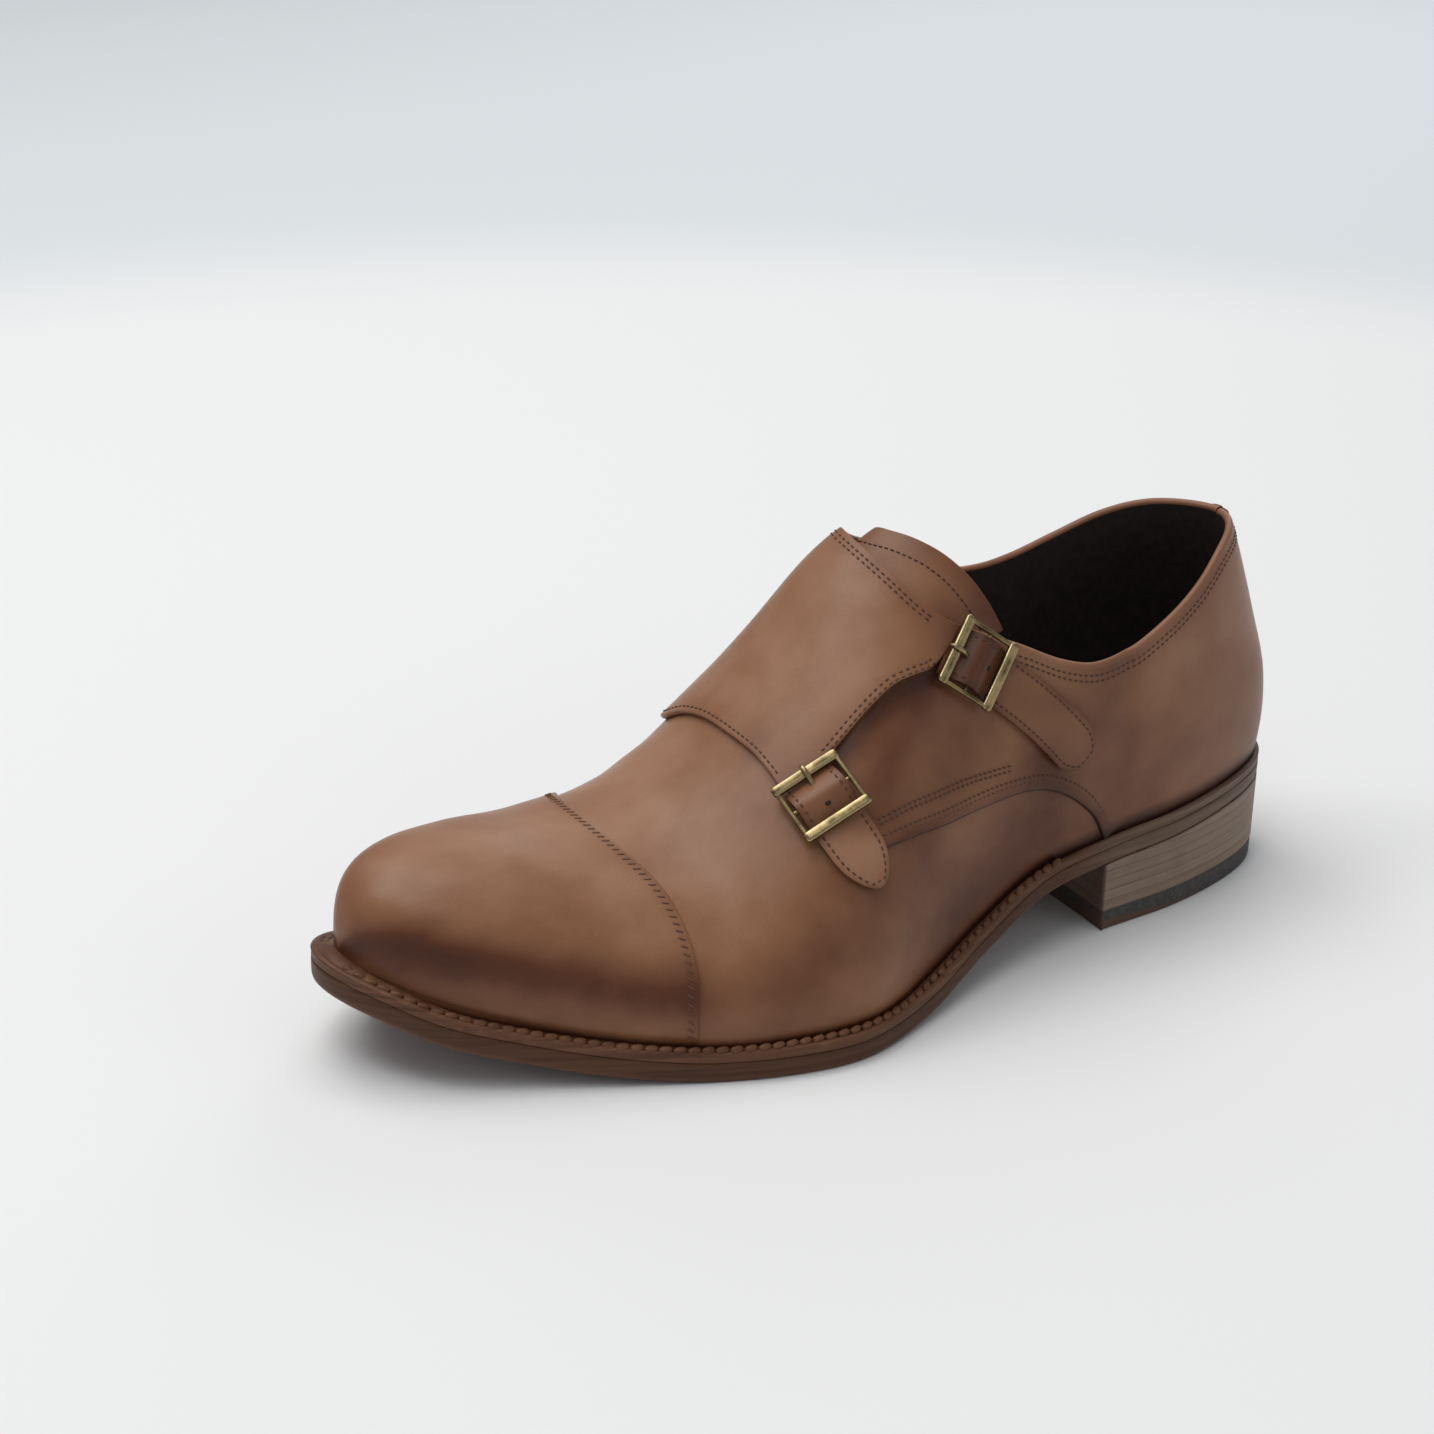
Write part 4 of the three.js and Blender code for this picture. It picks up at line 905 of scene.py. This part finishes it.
# Small closed bead: a ball of few faces stretched to length, width and height.
def beadShape(length, width, height, rings, around):
    climb = np.linspace(0, np.pi, rings + 1)[:, None]
    turn = np.linspace(0, 2 * np.pi, around + 1)[:-1][None, :]
    soft = lambda f: np.sign(f) * np.abs(f) ** 0.75
    across = soft(np.sin(climb)) * np.cos(turn) * width / 2
    up = soft(np.sin(climb)) * np.sin(turn) * height / 2
    points = np.stack([soft(-np.cos(climb)) * length / 2 + 0 * turn, across, up], -1)
    ends = np.concatenate([points[0, :1], points[1:-1].reshape(-1, 3), points[-1, :1]])
    ring = lambda k: 1 + k * around + np.arange(around)
    faces = []
    for k in range(rings - 2):
        a, b = ring(k), ring(k + 1)
        faces.append(np.stack([a, np.roll(a, -1), np.roll(b, -1), b], -1))
    a, b = ring(0), ring(rings - 2)
    caps = [np.stack([0 * a, np.roll(a, -1), a], -1),
        np.stack([0 * b + len(ends) - 1, b, np.roll(b, -1)], -1)]
    return ends, np.concatenate(faces), np.concatenate(caps)


# One mesh of a bead put at every place, turned to its directions.
def scatter(name, bead, centres, forward, side, normal, finish, slot):
    points, quads, triangles = bead
    turned = np.stack([forward, side, normal], 1)
    everything = (points @ turned.reshape(-1, 3, 3) + centres[:, None]).reshape(-1, 3)
    shift = (np.arange(len(centres)) * len(points))[:, None, None]
    faces = [face for part in (quads, triangles)
             for face in (part[None] + shift).reshape(-1, part.shape[1]).tolist()]
    return finishPiece(meshFrom(name, everything, faces, finish))


# Places at an even pitch along a line of spots, shifted sideways, at a lift above the last.
def alongLine(at, across, pitch, shift=0.0, lift=0.0, start=0.0, end=0.0):
    run = runAlong(onLast(at, across))
    want = np.arange(start + pitch / 2, run[-1] - end, pitch)
    a, c = np.interp(want, run, at), np.interp(want, run, across)
    forward, normal, _ = lineFrame(at, across)
    pick = lambda v: unit(np.stack([np.interp(want, run, v[:, k]) for k in range(3)], -1))
    forward, normal = pick(forward), pick(normal)
    side = unit(np.cross(normal, forward))
    if shift:
        a, c = spotBeside(a, c, side * shift)
        c = np.clip(c, -1, 1)
    spread = np.interp(want, run, lift) if np.ndim(lift) else lift + 0 * want
    normal = outward(stationAt(a), c)
    side = unit(np.cross(normal, forward))
    return onLast(a, c, spread), np.cross(side, normal), side, normal


def slanted(forward, side, degrees):  # both directions turned about the normal
    t = math.radians(degrees)
    return forward * math.cos(t) + side * math.sin(t), side * math.cos(t) - forward * math.sin(t)


seamStitch = {"pitch": 1.9, "length": 1.3, "width": 0.52, "height": 0.42}
stitchRows = []


def addStitches(at, across, pitch=seamStitch["pitch"], slant=0.0, **more):  # one row, kept for one mesh
    centres, forward, side, normal = alongLine(at, across, pitch, **more)
    forward, side = slanted(forward, side, slant)
    stitchRows.append((centres, forward, side, normal))


# Spots of the flap at shares (v, w), between the spots of a grid over it, by the cell's four corners.
def flapLine(v, w, cells=59):
    v, w = np.broadcast_arrays(v, w)
    grid = betweenEdges(flapShape, np.linspace(0, 1, cells + 1), np.linspace(0, 1, cells + 1))
    row, column = v * cells, w * cells
    i, j = np.minimum(row.astype(int), cells - 1), np.minimum(column.astype(int), cells - 1)
    f, g = row - i, column - j
    down = lambda q, j: q[i, j] * (1 - f) + q[i + 1, j] * f
    return [down(q, j) * (1 - g) + down(q, j + 1) * g for q in grid]


# Rows on the flap, beside its edges.
t = np.linspace(0, 1, 200)
a, c = flapLine(t, 0 * t)
addStitches(a, c, shift=1.6, lift=flapLift(flapShape, a, t, 0 * t) + 0.1, start=2, end=6)
a, c = flapLine(t, 0 * t + 1)
topLift = flapLift(flapShape, a, t, 0 * t + 0.97) + 0.12
for shift in (-1.9, -3.2):
    addStitches(a, c, shift=shift, lift=topLift, end=8)
a, c = flapLine(0 * t, t)
innerLift = flapLift(flapShape, a, 0 * t, t) + 0.1
for shift in (-2.2, -4.0, -7.6, -9.4):
    addStitches(a, c, shift=shift, lift=innerLift, slant=12, start=1, end=34)
a, c = flapLine(0 * t + 1, t)
for name, shift in (("flapEdgeHoles", 0.5), ("flapEdgeHolesInner", 1.9)):
    holes = alongLine(a, c, 1.9, shift=shift, lift=flapLift(flapShape, a, 0 * t + 1, t) + 0.04, start=15,
        end=13)
    scatter(name, beadShape(1.15, 0.6, 0.3, 4, 8), *holes, thread, "upper_leather")

# Double rows over the wing of the vamp on the outer side, and one pair on the inner side.
wingRows = {
    0.62: [(139.5, -.625), (159.5, -.707), (185.2, -.782), (199, -.828), (207, -.865), (213.2, -.898),
        (221.2, -.958)],
    0.3: [(139.2, -.587), (157, -.66), (171.5, -.708), (187.5, -.76)],
}
for lift, rows in wingRows.items():
    a, c, _ = routeLine(rows, 160)
    for shift in (0.7, -0.7):
        addStitches(a, c, pitch=1.75, shift=shift, lift=lift, slant=-14)
a, c, _ = routeLine(quarterSeam["innerPath"], 160)
for shift in (2.2, 4.0):
    addStitches(a, c, pitch=1.75, shift=-shift, lift=0.55, start=18, slant=14)

# Two rows under the top edge on each side.
for side, begin in ((-1.0, 181), (1.0, 204)):
    a = atOf(np.linspace(stationAt(begin), 0.995, 260), last["start"], last["end"])
    for drop in (3.6, 5.3):
        c = topEdge(a, side, drop)
        addStitches(a, c, lift=creaseAt(a, c) + 0.06)

# Slanted stitches on the toe cap, inside its rear edge.
c = np.linspace(-0.965, 0.965, 400)
a = smooth(capShape["rearAcross"], capShape["rearAt"], c)
centres, forward, side, normal = alongLine(a, c, 2.15, shift=1.55, lift=capShape["lift"] + 0.08)
capBead = beadShape(2.1, 0.5, 0.32, 6, 8)
scatter("capStitches", capBead, centres, *slanted(forward, side, 58), normal, paleThread, "upper_leather")

# One row round the top of the tongue.
fromTop = 6.0
c = np.linspace(-0.47, 0.47, 300)
a = smooth(tongueShape["topAcross"], tongueShape["topAt"], c) - fromTop
w = (a - tongueShape["front"]) / (a + fromTop - tongueShape["front"])
addStitches(a, c, lift=tongueLift(tongueShape, c, w) + 0.1)

# Round the straps, inside their edges: out along one side and back along the other.
for strap in straps.values():
    keep = (strap["run"] > 1) & (strap["run"] < strap["length"] - 1.6)
    inset = np.maximum(strap["half"] - 1.5, 0)
    lines = []
    for way in (1, -1):
        a, c = spotBeside(strap["at"], strap["across"], strap["side"] * (inset * way)[:, None])
        lines.append(np.stack([a, c, strap["run"]])[:, keep][:, ::way])
    a, c, run = np.concatenate(lines, 1)
    addStitches(a, c, lift=strapShape["lift"] + strapRise(strapShape, run) + 0.2)

beads = beadShape(seamStitch["length"], seamStitch["width"], seamStitch["height"], 4, 6)
joined = [np.concatenate(group) for group in zip(*stitchRows)]
scatter("seamStitches", beads, *joined, thread, "upper_leather")
print("stitches:", len(joined[0]))

# One punched hole in each strap, past the pin, drawn as a near-black disc on the strap: painted shade in the
# hole.
holeAt = strapShape["pinAt"] + 2.6
for name, strap in straps.items():
    centre, turned = frameOf(strap, holeAt)
    high = strapShape["lift"] + strapRise(strapShape, holeAt) + strapShape["bow"] - 0.05
    ways = [way[None] for way in turned]
    spot = centre + turned[2] * high
    scatter(name + "StrapHoleShade", beadShape(1.7, 1.7, 0.5, 6, 12), spot[None], *ways, holeShade,
        "upper_leather")


# The two sides of the sole's outline at stations from toe to heel, and their x.
def soleSides(station):
    x = atOf(station, 0, last["length"]) - middleAt
    outer, inner = (np.stack([x, soleCurve(side, station)], -1) for side in ("outer", "inner"))
    return x, outer, inner


# Outline of the sole as a closed loop: outer side from toe to heel, inner side back. Beside it the line
# midway between the sides, ended 12 and 18 mm inside the loop.
def soleLoop(count=190):
    x, outer, inner = soleSides(np.linspace(0, 1, count))
    middle = (outer[:, 1] + inner[:, 1]) / 2
    spine = np.stack([np.clip(x, -138, 132), np.interp(np.clip(x, -138, 132), x, middle)], -1)
    return np.concatenate([outer, inner[-2:0:-1]]), np.concatenate([spine, spine[-2:0:-1]])


# The heel's outline: the part of the sole's loop behind the breast, closed by a front face that is
# hollowed by half a sine wave.
def heelLoop(breast, count=150):
    first = float(stationOf(np.array(breast), 0, last["length"]))
    _, outer, inner = soleSides(first + (1 - first) * np.linspace(0, 1, count))
    share = np.linspace(0, 1, 40)[1:-1]
    front = inner[:1] + (outer[:1] - inner[:1]) * share[:, None]
    front[:, 0] += 1.1 * np.sin(np.pi * share)
    loop = np.concatenate([outer, inner[-2::-1], front])
    return loop, np.zeros_like(loop) + [112.0, 5.5]


# Slab: the loop drawn in by an inset along its inward direction, at a share of the height between its
# under and upper faces plus an offset, and gathered towards the spine by the last number of a profile row.
def slab(loop, spine, profile, low, high):
    tangent = unit(np.roll(loop, -1, 0) - np.roll(loop, 1, 0))
    inward = np.stack([-tangent[:, 1], tangent[:, 0]], -1)
    at = loop[:, 0] + middleAt
    rows = []
    for inset, share, offset, gather in profile:
        flat = (loop + inward * inset) * (1 - gather) + spine * gather
        here = np.clip(flat[:, 0] + middleAt, 0, last["length"]) if gather else at
        z = low(here) + (high(here) - low(here)) * share + offset
        rows.append(np.concatenate([flat, z[:, None]], 1))
    return np.stack(rows, 1)


outsoleTop = lambda at: weltTop(at) - sole["weltThick"]
loop, spine = soleLoop()
spineTop, spineLow = [(0, 1, 0, 1.0), (9, 1, 0, 0.6), (9, 1, 0, 0.0)], [(9, 0, 0, 0.0), (9, 0, 0, 0.35),
    (9, 0, 0, 0.7), (9, 0, 0, 1.0)]

outsoleProfile = [*spineTop, (3, 1, 0, 0), (0.35, 1, 0, 0), (0.08, 1, -0.12, 0), (0.0, 0.8, 0, 0),
    (0.0, 0.6, 0, 0), (0.02, 0.4, 0, 0), (0.05, 0.28, 0, 0), (0.12, 0.2, 0, 0),
                  (0.3, 0.1, 0, 0), (0.62, 0.03, 0, 0), (1.1, 0.0, 0, 0), (3, 0, 0, 0), *spineLow]
points = slab(loop, spine, outsoleProfile, soleUnder, outsoleTop)
share = np.array([row[1] for row in outsoleProfile])[None, :] + 0 * points[..., 0]
lowEdge = 1 - softStep(share, 0.12, 0.34)
outsole = gridMesh("outsoleLeather", points, soleEdge, wrapRows=True, values={"lowEdge": lowEdge}, weld=0.02)
finishPiece(outsole, ["outsole"])

# Welt: plain side, a raised bead along its outer top edge, a groove, and a bed that the upper stands on.
weltProfile = [(12, 1, 0, 0), (5, 1, 0, 0), (3.1, 1, -0.05, 0), (2.5, 1, -0.45, 0), (2.1, 1, -0.45, 0),
    (1.75, 1, 0.0, 0), (1.45, 1, 0.22, 0), (1.0, 1, 0.3, 0), (0.5, 1, 0.22, 0), (0.15, 1, 0.0, 0),
               (0.0, 1, -0.3, 0), (0.05, 1, -0.6, 0), (0.22, 1, -0.8, 0), (0.22, 0.55, 0, 0), (0.15, 0.3, 0,
                   0), (0.05, 0.12, 0, 0), (0.35, 0, 0, 0), (12, 0, 0, 0)]
points = slab(loop, spine, weltProfile, outsoleTop, weltTop)
welt = gridMesh("weltStrip", points, weltEdge, wrapRows=True, wrapColumns=True)
finishPiece(welt, ["welt"])

# Rope along the inner edge of the welt: slanted bumps beside the upper, from waist to waist round the toe.
ropeShape = {"pitch": 3.7, "length": 3.7, "width": 2.2, "height": 2.3, "out": 1.8, "outCap": 0.85,
    "lift": 0.4, "slant": 16, "end": 206}


# Rope: beads at an even pitch along the feather edge of the last, moved out and down on the welt.
def makeRope(shape, count=500):
    station = np.linspace(float(stationAt(shape["end"])), 0, count)
    outer = atOf(station, last["start"], last["end"])
    inner = atOf(np.linspace(0, float(stationAt(shape["end"])), count), last["start"], last["end"])[1:]
    line = np.concatenate([bareLast(stationAt(outer), -1.0), bareLast(stationAt(inner), 1.0)])
    at = np.concatenate([outer, inner])
    tangent = unit(np.gradient(line[:, :2], axis=0))
    out = np.stack([tangent[:, 1], -tangent[:, 0]], -1)
    out = -out if out[0, 1] > 0 else out
    line[:, :2] += out * (shape["out"] + shape["outCap"] * (1 - softStep(at, 78, 86)))[:, None]
    line[:, 2] = weltTop(line[:, 0] + middleAt) + shape["lift"]
    run = runAlong(line)
    want = np.arange(shape["pitch"] / 2, run[-1], shape["pitch"])
    spots = lambda want: np.stack([np.interp(want, run, line[:, k]) for k in range(3)], -1)
    forward = unit(spots(want + 0.8) - spots(want - 0.8))
    side = unit(np.cross([0, 0, 1.0], forward))
    up = np.cross(forward, side)
    bead = beadShape(shape["length"], shape["width"], shape["height"], 6, 10)
    scatter("weltRope", bead, spots(want), *slanted(forward, side, shape["slant"]), up, weltEdge,
        "welt_leather")


makeRope(ropeShape)
print("sole and welt made")

# Heel: lifts parted by fine grooves, between the sloping top piece and the seat. A profile row is the
# inset, the share of the height, the offset and the gathering towards the middle.
heelShape = {"lifts": 7, "groove": 0.13}


def topPieceTop(at):  # height of the top piece: it rises evenly from the breast to the back
    rise = (sole["topRear"] - sole["topFront"]) * (at - sole["breast"]) / (last["length"] - sole["breast"])
    return sole["topFront"] + rise


heelRound, heelMiddle = heelLoop(sole["breast"])


def makeHeel(shape):
    profile = [(0, 1, 0, 1.0), (0.5, 1, 0, 0.0), (0.12, 1, 0, 0.0)]
    for k in range(shape["lifts"], 0, -1):
        top, low = k / shape["lifts"], (k - 1) / shape["lifts"]
        profile += [(0.0, top - 0.02, 0, 0), (0.0, (top + low) / 2, 0, 0), (0.0, low + 0.02, 0, 0)]
        if k > 1:
            profile += [(shape["groove"], low, 0, 0)]
    profile += [(0.12, 0, 0, 0), (0.5, 0, 0, 0), (0, 0, 0, 1.0)]
    points = slab(heelRound, heelMiddle, profile, topPieceTop, soleUnder)
    heel = gridMesh("heelStack", points, stack, wrapRows=True, weld=0.002)
    finishPiece(heel, ["heel_stack"])
    profile = [(0, 1, 0, 1.0), (0.6, 1, 0, 0), (0.25, 1, -0.05, 0), (0.15, 0.9, 0, 0), (0.15, 0.5, 0, 0),
               (0.2, 0.15, 0, 0), (0.35, 0.05, 0, 0), (0.75, 0, 0, 0), (0, 0, 0, 1.0)]
    points = slab(heelRound, heelMiddle, profile, np.zeros_like, topPieceTop)
    top = gridMesh("heelTopPiece", points, topPiece, wrapRows=True, weld=0.002)
    finishPiece(top, ["heel_top_piece"])


makeHeel(heelShape)
print("heel made")

# Small stay over the back seam, at the top edge.
stayShape = {"height": 12.5, "above": 0.5, "lift": 0.5, "thick": 0.6}


# Stay: rows down from the top edge, columns over the seam, a little narrower and flatter towards its foot.
def makeBackStay(shape):
    drop = np.linspace(shape["above"], shape["height"], 26)[:, None]
    side = np.linspace(-1, 1, 25)[None, :]
    share = drop / shape["height"]
    at = atOf(1 - np.abs(side) * 0.028, last["start"], last["end"]) + 0 * drop
    at = last["end"] - (last["end"] - at) * (1 - 0.18 * share)
    across = np.where(side + 0 * drop > 0, topEdge(at, 1.0, drop), topEdge(at, -1.0, drop))
    lift = shape["lift"] * (1 - side ** 6) * (1 - share ** 8 * 0.8) + 0.02
    return leatherSheet("backStay", at, across, lift, 0.55 + 0 * at, [], shape["thick"], 0.25)


makeBackStay(stayShape)

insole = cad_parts["insole"]
insole.data.materials.clear()
insole.data.materials.append(lining)
print("stay made")

view = {"azimuth": -31.2555, "elevation": 23.4516, "distance": 1.03793,
    "target": (0.082451, 0.199213, -0.022859),
        "roll": 1.2866, "lens": 74.79}


def putAt(holder, place, right, up, back):  # an object that looks against `back`, into the scene
    rows = np.stack([right, up, back, place], 1).tolist()
    holder.matrix_world = Matrix([*rows, [0, 0, 0, 1]])
    bpy.context.scene.collection.objects.link(holder)
    return holder


# Camera on a sphere about its target: back is the direction from the target to it, turned by the roll.
def makeCamera(view):
    a, e, r = (math.radians(view[k]) for k in ("azimuth", "elevation", "roll"))
    back = np.array([math.sin(a) * math.cos(e), -math.cos(a) * math.cos(e), math.sin(e)])
    right = unit(np.cross(-back, [0, 0, 1.0]))
    up = np.cross(right, -back)
    right, up = right * math.cos(r) + up * math.sin(r), up * math.cos(r) - right * math.sin(r)
    place = np.array(view["target"]) + back * view["distance"]
    camera = bpy.data.objects.new("camera", bpy.data.cameras.new("camera"))
    camera.data.lens, camera.data.sensor_width, camera.data.clip_start = view["lens"], 36.0, 0.01
    bpy.context.scene.camera = putAt(camera, place, right, up, back)


makeCamera(view)
room = {"floorColour": (0.80, 0.80, 0.80), "farColour": (0.68, 0.71, 0.73), "inner": 0.66, "outer": 0.86,
    "radius": 6.0}


# Floor: a disc of rings; its colour fades into a cooler one with the distance from the origin.
def makeFloor(room):
    turn = np.linspace(0, 2 * np.pi, 65)[:-1]
    rings = np.array([0.0, 0.3, 0.6, 1.0, 2.0, room["radius"]])[:, None] / mm
    points = np.stack([rings * np.cos(turn), rings * np.sin(turn), 0 * rings * turn], -1)
    s = Shader("paleFloor")
    reach = s.node("ShaderNodeVectorMath", {"operation": "LENGTH"}, {0: s.place}, "Value")
    colour = s.mix(reach.rise(room["inner"], room["outer"]), room["floorColour"], room["farColour"])
    finish = s.finish(**{"Base Color": colour, "Roughness": 0.9, "Specular IOR Level": 0.1})
    upward = np.zeros_like(points) + [0, 0, 1.0]
    floor = gridMesh("floor", points, finish, wrapColumns=True, weld=0.01, outside=upward)


makeFloor(room)

lamps = [  # name, place, aimed at, size, watts, colour
    ("overhead", (-0.4, 0.6, 2.2), (0, 0, 0), (2.1, 1.7), 37.5, (1.0, 0.985, 0.965)),
    ("window", (-1.0, 0.32, 1.35), (-0.1, 0, 0.03), (0.5, 0.45), 2.2, (0.96, 0.98, 1.0)),
    ("windowBeside", (-0.6, -0.55, 1.5), (-0.1, 0, 0.03), (0.5, 0.45), 2.2, (0.96, 0.98, 1.0)),
    ("behind", (1.3, 1.2, 0.9), (0.08, 0, 0.05), (1.0, 0.9), 5.0, (0.97, 0.98, 1.0)),
    ("fill", (0.8, -1.5, 0.7), (0, 0, 0.03), (1.1, 0.8), 1.8, (1.0, 0.98, 0.96)),
]
for name, place, aim, size, watts, colour in lamps:
    lamp = bpy.data.lights.new(name, "AREA")
    lamp.shape, lamp.size, lamp.size_y, lamp.energy, lamp.color = "RECTANGLE", size[0], size[1], watts, colour
    holder = bpy.data.objects.new(name, lamp)
    back = unit(np.array(place, float) - np.array(aim, float))
    right = unit(np.cross([0, 0, 1.0], back))
    putAt(holder, place, right, np.cross(back, right), back)

sky = bpy.data.worlds.new("sky")
sky.use_nodes = True
background = sky.node_tree.nodes["Background"].inputs
background["Color"].default_value, background["Strength"].default_value = (0.80, 0.83, 0.86, 1), 0.40
bpy.context.scene.world = sky
bpy.context.scene.view_settings.view_transform = "Standard"
print("camera and light made")
